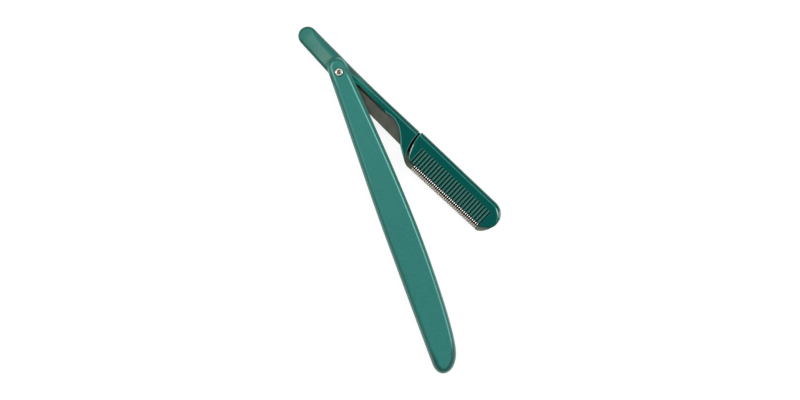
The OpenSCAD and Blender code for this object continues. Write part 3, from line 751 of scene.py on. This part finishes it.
# %% The ribs and the cover's lower edge
def ribs_painted_light(tree, at, tone):
    """Grooves in painted shade, nearly black, and rib tops with a painted light that turns from dark to
    bright across each rib.
    """
    last_groove = FIRST_GROOVE + (GROOVES - 1) * GROOVE_PITCH
    ribbed = tree.band(at.x, FIRST_GROOVE - 0.55, FIRST_GROOVE - 0.35, last_groove, last_groove + 0.25)
    ribbed = ribbed * tree.fall(at.y, GROOVE_TOP - 0.1, GROOVE_TOP + 0.2)
    painted_light_crown = tree.between(at.z, ARM_HALF - 0.17, ARM_HALF - 0.05)
    across = tree.math("FRACT", (at.x - FIRST_GROOVE) / GROOVE_PITCH)
    top = tree.blend(tree.between(across, 0.35, 0.75), (0.015, 0.115, 0.094), (0.060, 0.220, 0.190))
    return tree.blend(ribbed, tone, tree.blend(painted_light_crown, (0.001, 0.024, 0.019), top))


def lower_edge_painted_light(tree, at, tone):
    """A painted reflection of the steel's brown on the cover's lower lip, and a painted shade on the ribs'
    ends over the guard.
    """
    painted_lip_reflection = tree.fall(at.y, -5.15, -4.9) * tree.between(at.x, HEAD_X, HEAD_X + 1.5)
    tone = tree.blend(0.8 * painted_lip_reflection, tone, (0.038, 0.072, 0.055))
    # foot: a painted shade on the cover where the ribs end over the guard
    foot = tree.fall(above_edge(at.x, at.y), OVER_EDGE + 0.05, OVER_EDGE + 0.6)
    return tree.blend(0.75 * foot * beside_edge(tree, at.x), tone, (0.012, 0.038, 0.028))


# %% The arm's bevels and lips
def bevels_painted_light(tree, at, tone):
    """Painted light on broad bevels: a painted shade on the slope, a painted pale rim above the wall, a
    painted highlight on the crest, and a painted glare near the tip.
    """
    broad = tree.between(at.width, 0.58, 0.72)
    painted_light_band = tree.fall(at.edge, 0.6, 0.88) * broad
    tone = tree.blend(0.4 * painted_light_band, tone, (0.004, 0.070, 0.056))
    above_wall = tree.between(at.z, ARM_HALF - 0.6, ARM_HALF - COVER_BEVEL_H)
    painted_rim = tree.fall(at.edge * at.width, 0.14, 0.52) * broad * above_wall
    tone = tree.blend(0.8 * painted_rim, tone, (0.10, 0.24, 0.21))
    painted_crest = tree.band(at.edge, 0.80, 0.96, 1.04, 1.18) * broad * (1 - at.tail)
    tone = tree.blend(painted_crest, tone, (0.035, 0.25, 0.21))
    painted_glare = painted_crest * tree.between(at.x, HEAD_END - 3.9, HEAD_END - 3.1) * tree.between(at.y, 0.8, 1.8)
    return tree.blend(painted_glare, tone, (0.46, 0.72, 0.64))


def lips_painted_highlight(tree, at, tone):
    """Thin lips get a painted highlight all over, nearly white in the middle of the head's heel side."""
    painted_lip_light = tree.band(at.edge, 0.1, 0.4, 1, 1.18) * tree.fall(at.width, 0.4, 0.5)
    painted_heel_highlight = tree.between(at.x, HEAD_X, HEAD_X + 0.2) * tree.band(at.y, -3.9, -3, -1, 0)
    painted_heel_highlight = painted_heel_highlight * tree.between(at.width, SIDE + 0.02, HEEL_EDGE - 0.02)
    return tree.blend(painted_lip_light, tone, tree.blend(painted_heel_highlight, (0.12, 0.34, 0.30), (0.75, 0.86, 0.80)))


# %% The arm's smoother plastic
def arm_finish(tree):
    place = tree.along()
    fine = tree.noise(place, 6000, 2, 0.55)
    mottle = tree.noise(place, 1500, 2)
    x, y, z = tree.millimetres(REST_ANGLE, MID_Z)
    at = SimpleNamespace(x=x, y=y, z=tree.math("ABSOLUTE", z), edge=tree.mark("edge"),
                         width=tree.mark("edge_width"), tail=tree.fall(x, -1, 3))
    tone = tree.blend(at.tail, face_tone(tree, at, mottle), tail_tone(tree, at, mottle))
    for layer in (ribs_painted_light, lower_edge_painted_light, bevels_painted_light, lips_painted_highlight):
        tone = layer(tree, at, tone)
    return {
        "Base Color": tone,
        "Roughness": 0.14 + 0.06 * fine + 0.16 * at.tail,
        "Specular IOR Level": 0.24,
        "Normal": grain(tree, fine, 0.00001, 0.2),
    }


ARM_PLASTIC = material("arm_plastic", arm_finish)

# %% [markdown]
# ## The arm
#
# Tail, boss, spine and neck are one moulding. Its bevel is what gives the arm its drawing: broad along the
# tail's back, medium on the spine, and a hair where the neck thins out over the steel. The outline runs round
# the arm once, and each of its curves hands the edge width on to the next. The slot in its middle takes the
# blade's tang, which shows as a line of steel along the neck's lower side.

# %% The arm's outline
BROAD, LOW_EDGE, SPINE_EDGE, SPINE_TOP_EDGE, NECK_EDGE = 2.05, 0.75, 0.65, 1.1, 1.2
LIP, POINT = 0.38, 0.03
ARM_BACK, ARM_FRONT, BOSS, SPINE_LOW = 4.08, 2.6, 6.6, 1.2
TAIL_TURN = 265


def on_neck(width, *shares):
    """Points given as shares of the neck's length and of its height over the pointed end."""
    return [(SPINE_REACH + x * NECK_LEN, y * (NECK_DROP + NECK_BACK) - NECK_DROP, width) for x, y in shares]


tail_arc = arc(TAIL_CENTRE, TAIL_R, 87.6, TAIL_TURN, LOW_EDGE)
tail_low = arc(TAIL_CENTRE, TAIL_R, TAIL_TURN, 360, LOW_EDGE)[0]
web = on_neck(LIP, (0.042, 0.752), (0.3, 0.77), (0.455, 0.586), (0.664, 0.279))
flare = on_neck(LIP, (0.734, 0.216), (0.874, 0.096)) + on_neck(POINT, (0.972, 0.013))
tip = on_neck(POINT, (0.99, 0), (1.004, 0.01), (0.997, 0.03))
side = on_neck(SIDE, (0.839, 0.231), (0.783, 0.529))
side_top = (NECK_CORNER, NECK_BACK - WIDEST * NECK_EDGE)
neck_top = (NECK_CORNER - WIDEST * SIDE, NECK_BACK)
under_web = web[0][1] - 0.3
ARM_OUTLINE = np.vstack([
    tail_arc,
    curve(tail_low, tail_low, (0, -ARM_FRONT, LOW_EDGE), (0, -ARM_FRONT, LOW_EDGE), 8),
    chain([
        (0, -ARM_FRONT, LOW_EDGE),
        *wide(SPINE_EDGE, (0.48 * BOSS, -ARM_FRONT - 0.15), (0.82 * BOSS, -ARM_FRONT),
              (0.82 * BOSS, -ARM_FRONT / 2), (0.82 * BOSS, SPINE_LOW / 2), (BOSS, SPINE_LOW),
              (BOSS + SPINE_LOW, SPINE_LOW), (SPINE_REACH / 2, SPINE_LOW),
              (SPINE_REACH - 2 * SPINE_EDGE, under_web)),
        (SPINE_REACH - SPINE_EDGE, under_web, SPINE_EDGE / 2)]),
    chain(web + flare),
    curve(flare[2], *tip, 12),
    curve(tip[2], *side, (*side_top, SIDE)),
    curve(*wide(CORNER, side_top, (NECK_CORNER, NECK_BACK - SIDE / 3), (NECK_CORNER - SIDE / 3, NECK_BACK),
                neck_top), 12),
    chain([
        *wide(NECK_EDGE, neck_top, (SPINE_REACH, NECK_BACK)),
        *wide(SPINE_TOP_EDGE, (SPINE_REACH, NECK_BACK), (SPINE_REACH - NECK_EDGE, NECK_BACK),
              (BOSS, NECK_BACK)),
        *wide(BROAD, (0, ARM_BACK), (-TAIL_R, ARM_BACK + 0.15), (TAIL_CENTRE[0] / 2, ARM_BACK + 0.3),
              (TAIL_CENTRE[0] + TAIL_R, TAIL_CENTRE[1] + TAIL_R - 0.15)),
        tail_arc[0]])])

# %% The blade's outline, which also cuts the slot for the tang
TANG_R = 2.1
BLADE_EDGE = 0.05
GUARD_OVER = 0.2
INSET = COVER_BEVEL / 2
TIP_LOW = edge_y(EDGE_END) - GUARD_OVER
BLADE_OUTLINE = np.vstack([
    arc((0, 0), TANG_R, 90, 270, BLADE_EDGE, 16),
    wide(BLADE_EDGE, (0, -TANG_R), (BOSS, -2.72), (web[3][0] - 0.6, -3.55), (web[3][0] + 0.15, -3.55),
         *[(x, y + 0.3) for x, y, _ in flare[:2]]),
    curve(*wide(BLADE_EDGE, (HEAD_X + 2.125, 0.3 - NECK_DROP), (HEEL[0] - 0.9, HEEL[1] + 0.15),
                (HEEL[0] - 0.45, HEEL[1]), HEEL), 12),
    wide(BLADE_EDGE, HEEL, (EDGE_START[0] - 0.45, HEEL[1])),
    wide(BLADE_EDGE / 5, EDGE_START, (EDGE_END, edge_y(EDGE_END))),
    chain(wide(BLADE_EDGE, (EDGE_END + GUARD_OVER, TIP_LOW), (HEAD_END - 0.242 * HEAD_H, TIP_LOW),
               (HEAD_END - 0.02 * HEAD_H, -0.428 * HEAD_H), (HEAD_END - 0.012 * HEAD_H, -0.12 * HEAD_H),
               (HEAD_END - INSET, HEAD_BACK / 2), (HEAD_END - COVER_BEVEL - INSET, STEEL_TOP),
               (EDGE_END, STEEL_TOP)), 20),
    wide(BLADE_EDGE, (EDGE_END, STEEL_TOP), (NECK_CORNER, STEEL_TOP), (NECK_CORNER - SEAM_GAP, TANG_TOP),
         (BOSS, TANG_TOP))])
print("outline points, arm:", len(ARM_OUTLINE), "blade:", len(BLADE_OUTLINE))

# %% Mould the arm and cut its slot and bore
tang_slot = BLADE_HALF + JOIN_GAP
arm = cut(
    edged("arm", ARM_OUTLINE, all_layers(soft_chamfer(), BEVEL_H, -ARM_HALF, ARM_HALF)),
    slab("tang_cutter", BLADE_OUTLINE[:, :2], -tang_slot, tang_slot),
    drum("bore_cutter", RIVET_R + TURN_GAP, -ARM_HALF - CUT_OVER, ARM_HALF + CUT_OVER))
finished(on_arm(arm), ARM_PLASTIC, "arm_frame", "arm")

# %% [markdown]
# ## The blade
#
# The blade is stamped from strip of 0.4 mm, and two wedges along the slope of the cutting edge cut its ground
# bevels, down to a thin land. A stamped edge is never sharp, so the outline gets a round of 0.05 mm, which
# draws a bright line round the heel. The steel keeps a warm grey film and the fine lines of the rolls: a
# noise that changes slowly along the blade, and every few hundredths of a millimetre across it. Where cover,
# guard and neck shade it, the steel is nearly black.

# %% Blade steel
def steel_finish(tree):
    lines = tree.noise(tree.along(900, 22000, 900, -REST_ANGLE), 1.0, 3, 0.6)
    film = tree.noise(tree.along(), 400, 3)
    x, y, _ = tree.millimetres(REST_ANGLE)
    guarded = beside_edge(tree, x)
    ground = tree.fall(above_edge(x, y), 0.7, GRIND_W) * guarded
    in_seam = tree.between(x, NECK_CORNER - 0.8, NECK_CORNER - 0.4) * tree.between(y, -4.8, -3.0)
    under_spine = tree.fall(x, NECK_CORNER - 14, NECK_CORNER - 10) * tree.between(y, 0.2, 1.1)
    shaded = tree.most(guarded, in_seam, under_spine)
    strip = tree.blend(film, (0.15, 0.168, 0.138), (0.21, 0.222, 0.182))
    past_guard = tree.between(x, EDGE_END - 0.1, EDGE_END)
    strip = tree.blend(past_guard, strip, (0.29, 0.33, 0.27))
    strip = tree.blend(shaded, strip, (0.006, 0.006, 0.005))
    return {
        "Base Color": tree.blend(ground, strip, (0.25, 0.225, 0.195)),
        "Metallic": 1.0,
        "Roughness": 0.28 + 0.12 * lines + 0.06 * film,
        "Normal": grain(tree, lines, 0.000006, 0.35),
    }


BLADE_STEEL = material("blade_steel", steel_finish)

# %% Stamp and grind the blade
LAND = 0.02


def edge_place(points):
    """Points given from the start of the cutting edge, along its slope."""
    c, s = math.cos(EDGE_SLOPE), math.sin(EDGE_SLOPE)
    return [(EDGE_START[0] + x * c - y * s, EDGE_START[1] + x * s + y * c, z) for x, y, z in points]


def grind_cutter(name, side):
    """The wedge that the wheel takes off one side."""
    profile = [(-CUT_OVER, LAND), (0, LAND), (GRIND_W, BLADE_HALF), (GRIND_W, CUT_OVER),
               (-CUT_OVER, CUT_OVER)]
    ends = [np.array(edge_place([(x, y, side * z) for y, z in profile])) for x in (0, EDGE_LEN)]
    return solid(name, ends if side > 0 else ends[::-1])


blade = cut(
    edged("ground_blade", BLADE_OUTLINE, all_layers(round_edge(4), BLADE_EDGE, -BLADE_HALF, BLADE_HALF)),
    grind_cutter("wedge_above", 1), grind_cutter("wedge_below", -1),
    drum("bore_cutter", RIVET_R + TURN_GAP, -CUT_OVER, CUT_OVER))
finished(on_arm(blade), BLADE_STEEL, "blade", "arm", sharp=20)

# %% [markdown]
# ## Rows by Geometry Nodes
#
# Two things on the head repeat at an even step: 26 grooves in each half of the cover and 39 fingers of the
# guard. Both are one shape set along a line, so one node tree serves both: it places copies of its input on
# a line of points, makes them real and gives them a material. Count, step and direction are inputs of the
# tree, so another head could have coarser ribs without new code.

# %% A tree that sets copies along a line
def row_tree():
    group = bpy.data.node_groups.new("row_of_copies", "GeometryNodeTree")
    sockets = [
        group.interface.new_socket(name, in_out=way, socket_type="NodeSocket" + kind) for name, way, kind in (
            ("Shape", "INPUT", "Geometry"), ("Count", "INPUT", "Int"), ("Start", "INPUT", "Vector"),
            ("Step", "INPUT", "Vector"), ("Finish", "INPUT", "Material"), ("Row", "OUTPUT", "Geometry"))]
    tree = Tree(group.nodes, group.links)
    inputs = group.nodes.new("NodeGroupInput").outputs
    shape, count, start, step, finish = (Value(tree, inputs[item.name]) for item in sockets[:5])
    line = tree.add("GeometryNodeMeshLine", {"mode": "OFFSET"}, {
        "Count": count, "Start Location": start, "Offset": step})
    copies = tree.add("GeometryNodeInstanceOnPoints", {}, {"Points": line, "Instance": shape})
    real = tree.add("GeometryNodeRealizeInstances", {}, {"Geometry": copies})
    done = tree.add("GeometryNodeSetMaterial", {}, {"Geometry": real, "Material": finish})
    tree.add("NodeGroupOutput", {}, {"Row": done})
    return group, [item.identifier for item in sockets[1:5]]


ROW, ROW_INPUTS = row_tree()
print("nodes that set a row:", len(ROW.nodes), "inputs besides the shape:", len(ROW_INPUTS))


def in_a_row(piece, count, start, step, finish):
    """Copies of the piece's mesh along a line. start and step are in millimetres."""
    rows = piece.modifiers.new("row", "NODES")
    rows.node_group = ROW
    start, step = ([v * MM for v in spot] for spot in (start, step))
    for name, value in zip(ROW_INPUTS, (count, start, step, finish)):
        rows[name] = value
    piece.update_tag()
    return settled(piece)


# %% [markdown]
# ## The head cover
#
# Two ribbed halves clamp the blade. The ribs are what the fingers hold, so their tops are rounded. A mould
# makes the grooves with 26 parallel cores, and so does this script: each cutter is a core whose sides flare
# out towards the face. Cutting keeps the ribs in one piece with the cover, and lets them end on the bevel.

# %% The cover's outline
def on_cover(width, *shares, fall=0.0):
    """Points given as shares of the head's length and height, and then lowered by fall."""
    return [(HEAD_X + x * HEAD_LEN, y * HEAD_H - COVER_DROP - fall, width) for x, y in shares]


LOW_BEVEL = 0.55
heel_side = on_cover(HEEL_EDGE, (0.005, 0.647), (0.046, 0))
low_side = on_cover(LOW_BEVEL, (0.104, 0), (0.156, 0), (0.837, 0), (0.883, 0), (0.899, 0), (0.908, 0.005),
                    (0.919, 0.041))
tip_cut = on_cover(LOW_BEVEL, (0.976, 0.224), (0.989, 0.266), (1, 0.329))
tip_side = on_cover(COVER_BEVEL / 2, (1, 0.468))
top = on_cover(COVER_BEVEL, (1, 0.788), (0.947, 1), (0.867, 1), fall=0.23)
heel_top = (HEAD_X, HEAD_BACK - WIDEST * COVER_BEVEL)
back_corner = (HEAD_X + WIDEST * HEEL_EDGE, HEAD_BACK)
COVER_OUTLINE = np.vstack([
    curve((*heel_top, HEEL_EDGE), *heel_side, low_side[0]),
    chain(low_side, 12),
    curve(low_side[-1], low_side[-1], tip_cut[0], tip_cut[0], 8),
    curve(*tip_cut, *tip_side, 12),
    chain([*tip_side, *top, *wide(COVER_BEVEL, (top[2][0] - COVER_BEVEL, top[2][1]),
                                  (HEAD_X + 2 * COVER_BEVEL, HEAD_BACK), back_corner)]),
    curve(*wide(CORNER, back_corner, (HEAD_X + HEEL_EDGE / 2, HEAD_BACK),
                (HEAD_X, HEAD_BACK - COVER_BEVEL / 2), heel_top), 12)])
print("outline points, cover:", len(COVER_OUTLINE))


# %% A row of groove cutters
def groove_row():
    """26 cores whose sides flare towards the face."""
    floor = ARM_HALF - GROOVE_DEPTH
    half = [(0.0, 0.12), (0.03, 0.17), (0.15, 0.19), (0.22, 0.22), (0.27, 0.27), (0.305, 0.34),
            (0.33, 0.42), (0.345, 0.50), (0.40, 0.54), (0.9, 0.54)]
    profile = [(floor + z, x) for z, x in half] + [(floor + z, -x) for z, x in reversed(half)]
    ends = [np.array([(z, x, y) for z, x in profile])[::-1] for y in (-RECESS_DROP, GROOVE_TOP)]
    core = solid("groove_cutter", ends, axes=(2, 0, 1))
    return in_a_row(core, GROOVES, (FIRST_GROOVE, 0, 0), (GROOVE_PITCH, 0, 0), ARM_PLASTIC)


# %% Cut the cover's halves
FINGERS, FINGER_PITCH, FINGER_W = 39, 0.717, 0.36
GUARD_LEN = (FINGERS - 1) * FINGER_PITCH + FINGER_W
SHOULDER_H, GUARD_T, RAIL_W = 0.66, 0.16, 0.6
RAIL_TOP = OVER_EDGE + RAIL_W


def window(name, top, height):
    """A cutter over the guard's length, up to a line at the given distance from the cutting edge."""
    left, right = -JOIN_GAP, GUARD_LEN + JOIN_GAP
    corners = edge_place([(left, -CUT_OVER, 0), (right, -CUT_OVER, 0), (right, top, 0), (left, top, 0)])
    return slab(name, [p[:2] for p in corners], -CUT_OVER, height)


def half_cover(name):
    stack = [(0, BLADE_HALF + JOIN_GAP)] + upper_layers(soft_chamfer(0.1, 0.12), COVER_BEVEL_H, ARM_HALF)
    return cut(
        edged(name, COVER_OUTLINE, stack), groove_row(),
        window("rail_cutter", RAIL_TOP + JOIN_GAP, SHOULDER_H + JOIN_GAP),
        window("recess_cutter", OVER_EDGE, ARM_HALF + CUT_OVER))


for face, place in (("front", Matrix()), ("back", TURNED_OVER)):
    half = half_cover("cover_" + face)
    half.data.transform(place)
    finished(on_arm(half), ARM_PLASTIC, "head_cover_" + face, "arm", sharp=28)

# %% [markdown]
# ## The guard
#
# The guard is a comb of thin plated metal, folded over the cutting edge so that the fingers lie on both sides
# of it and keep the skin off the blade. A finger is a bent strip: out of the cover down a short slope, along
# a level step, and down again to the nose in front of the edge. The crown of each first slope gets a painted
# highlight, a bright dot, and the rest of the finger behind the front a painted shade, nearly black; the
# front is duller. The finish finds the crown by its place across the finger, and the front by its distance
# from the cutting edge.

# %% Plated guard
def guard_finish(tree):
    pits = tree.noise(tree.along(), 5000, 2)
    x, y, _ = tree.millimetres(REST_ANGLE)
    above = above_edge(x, y)
    front = tree.fall(above, 0.8, 0.92)
    across = tree.math("FRACT", (x - EDGE_START[0]) / (FINGER_PITCH * math.cos(EDGE_SLOPE))) * FINGER_PITCH
    # a painted highlight on a strip along each finger's crown, and a painted shade, nearly black, on the rest
    # behind the front
    painted_light_crown = tree.band(across, 0.04, 0.16, 0.2, 0.32)
    painted_light_band = painted_light_crown * tree.between(above, 1.14, 1.26)
    plated = tree.blend(pits, (0.94, 0.93, 0.90), (1.0, 0.99, 0.97))
    plated = tree.blend(painted_light_band, (0.07, 0.055, 0.045), plated)
    dull = tree.blend(pits, (0.44, 0.415, 0.37), (0.56, 0.53, 0.48))
    return {
        "Base Color": tree.blend(front, plated, dull),
        "Metallic": 1.0,
        "Roughness": 0.12 + 0.06 * pits + 0.2 * front,
        "Normal": grain(tree, pits, 0.000008, 0.2),
    }


GUARD_METAL = material("guard_metal", guard_finish)

# %% One finger
def bent(points, radius, steps=4):
    """The polygon with each corner replaced by a bend that starts radius before it."""
    n, out = len(points), []
    for i in range(n):
        before, here, after = (np.array(points[(i + k) % n], float) for k in (-1, 0, 1))
        reach_in, reach_out = (min(radius, 0.45 * np.linalg.norm(p - here)) for p in (before, after))
        a = here + (before - here) / np.linalg.norm(before - here) * reach_in
        c = here + (after - here) / np.linalg.norm(after - here) * reach_out
        for t in np.linspace(0, 1, steps):
            out.append((1 - t) ** 2 * a + 2 * t * (1 - t) * here + t * t * c)
    return np.array(out)


STEP_START = OVER_EDGE - 0.6
FRONT_START = STEP_START - 0.3
STEP_H = 0.5
NOSE = -GUARD_OVER
INNER = BLADE_HALF + JOIN_GAP
upper_side = [(RAIL_TOP, INNER), (RAIL_TOP, SHOULDER_H), (OVER_EDGE, SHOULDER_H), (STEP_START, STEP_H),
              (FRONT_START, STEP_H), (NOSE, GUARD_T)]
inner_side = [(NOSE + GUARD_T, 0.04), (FRONT_START, STEP_H - GUARD_T), (STEP_START, STEP_H - GUARD_T),
              (OVER_EDGE, SHOULDER_H - GUARD_T), (OVER_EDGE, INNER)]
finger_outline = upper_side + [(y, -z) for y, z in reversed(upper_side)] \
    + [(y, -z) for y, z in reversed(inner_side)] + inner_side
FINGER_EDGE = 0.15
FINGER_BEND = 0.14
finger_bends = bent(finger_outline, FINGER_BEND)
finger_bends = np.column_stack([finger_bends, np.full(len(finger_bends), 0.4 * GUARD_T)])
finger_stack = all_layers(round_edge(5)[:-1], FINGER_EDGE, 0, FINGER_W)
finger = solid("guard", [ring(finger_bends, s, x) for s, x in finger_stack], axes=(1, 2, 0))


# %% The comb and its two rails
guard = in_a_row(finger, FINGERS, (0, 0, 0), (FINGER_PITCH, 0, 0), GUARD_METAL)
comb = bmesh.new()
comb.from_mesh(guard.data)
for low, high in ((INNER, SHOULDER_H), (-SHOULDER_H, -INNER)):
    corners = [Vector((x, y, z)) * MM for z in (low, high) for y in (OVER_EDGE, RAIL_TOP)
               for x in (0, GUARD_LEN)]
    bmesh.ops.convex_hull(comb, input=[comb.verts.new(c) for c in corners])
comb.to_mesh(guard.data)
comb.free()
guard.data.transform(Matrix.Translation((EDGE_START[0] * MM, EDGE_START[1] * MM, 0))
                     @ Matrix.Rotation(EDGE_SLOPE, 4, "Z"))
finished(on_arm(guard), GUARD_METAL, "blade_guard", "arm", sharp=40)

# %% [markdown]
# ## Camera
#
# The photo looks straight down on the lying razor, with no perspective to be seen, so the lens is long and
# the camera a metre away. The razor lies across the picture: the handle's axis points down and a little to
# the right. Rolling the camera gives that, instead of turning the razor.

# %% Set the camera up
PICTURE_MM = 256.0
DISTANCE = 1.0
LEAN = math.radians(70.6)
centre = Vector((45.0, 4.85, MID_Z)) * MM
right = Vector((math.cos(LEAN), math.sin(LEAN), 0))
up = Vector((-math.sin(LEAN), math.cos(LEAN), 0))

lens = bpy.data.cameras.new("camera")
lens.sensor_width = 36
lens.lens = lens.sensor_width * DISTANCE / (PICTURE_MM * MM)
lens.clip_end = 20
camera = in_scene("camera", lens)
camera.matrix_world = Matrix.Translation(centre + Vector((0, 0, DISTANCE))) \
    @ Matrix((right, up, Vector((0, 0, 1)))).transposed().to_4x4()
bpy.context.scene.camera = camera
print("lens", round(lens.lens, 1), "mm")

# %% [markdown]
# ## Light and floor
#
# The flat faces of the razor show nearly pure colour while its edges flash: the studio was dark above the
# camera and bright at the sides. A world that is dim at the top and bright in a ring round it does that, and
# two soft lamps add a direction, so that the slot side of the handle shines most. A white floor would throw
# its light back at the razor, so the floor is grey to the light and glows white only to rays from the camera,
# or by way of metal or glass. It keeps the razor's shadow.

# %% The world, dim above with a bright ring
SKY_DIM = 0.05
SKY_RING = 2.5
world = bpy.data.worlds.new("studio")
world.use_nodes = True
bpy.context.scene.world = world
sky = Tree(world.node_tree.nodes, world.node_tree.links)
heading = sky.add("ShaderNodeTexCoord", out="Generated")
height = sky.add("ShaderNodeSeparateXYZ", {}, {"Vector": heading}, out="Z")
level = SKY_DIM + SKY_RING * sky.band(height, 0.73, 0.81, 0.885, 0.93)
background = world.node_tree.nodes["Background"]
background.inputs["Color"].default_value = (1, 1, 1, 1)
sky.feed(background.inputs["Strength"], level)

# %% Two soft lamps
LAMP_HEIGHT = Vector((0, 0, 0.6))
LAMP_SIZE = 0.5


def lamp(name, aside, power):
    """A soft round lamp above the razor and to one side of it, which points at the picture's centre."""
    light = bpy.data.lights.new(name, "AREA")
    light.shape = "DISK"
    light.size = LAMP_SIZE
    light.energy = power
    holder = in_scene(name, light)
    holder.location = centre + aside + LAMP_HEIGHT
    holder.rotation_euler = (-aside - LAMP_HEIGHT).to_track_quat("-Z", "Y").to_euler()
    print(name, "lamp:", power, "W")


lamp("key", right, 5.2)
lamp("fill", -right, 3.1)

# %% The floor
FLOOR_HALF = 2
floor_mesh = bpy.data.meshes.new("floor")
floor_corners = [(x * FLOOR_HALF, y * FLOOR_HALF, 0) for x, y in ((-1, -1), (1, -1), (1, 1), (-1, 1))]
floor_mesh.from_pydata(floor_corners, [], [(0, 1, 2, 3)])
floor = in_scene("floor", floor_mesh)


def floor_finish(tree):
    rays = tree.add("ShaderNodeLightPath").socket.node.outputs
    seen = tree.most(*[Value(tree, rays[kind]) for kind in (
        "Is Camera Ray", "Is Glossy Ray", "Is Transmission Ray")])
    spot = from_pivot(tree)
    # under the rivet's bore the floor glows dark brown instead of white, a painted shade inside the hollow
    # rivet
    under_rivet = tree.fall(spot, RIVET_BORE_R, RIVET_R)
    painted_bore_shade = tree.blend(tree.between(spot, 0.15, 0.42), (0.10, 0.07, 0.05), (0.36, 0.29, 0.22))
    return {
        "Base Color": (0.22, 0.22, 0.22, 1),
        "Roughness": 0.9,
        "Specular IOR Level": 0.0,
        "Emission Color": tree.blend(under_rivet, (1, 1, 1), painted_bore_shade),
        "Emission Strength": 0.87 * seen,
    }


floor_mesh.materials.append(material("floor_white", floor_finish))
bpy.context.scene.view_settings.view_transform = "Standard"
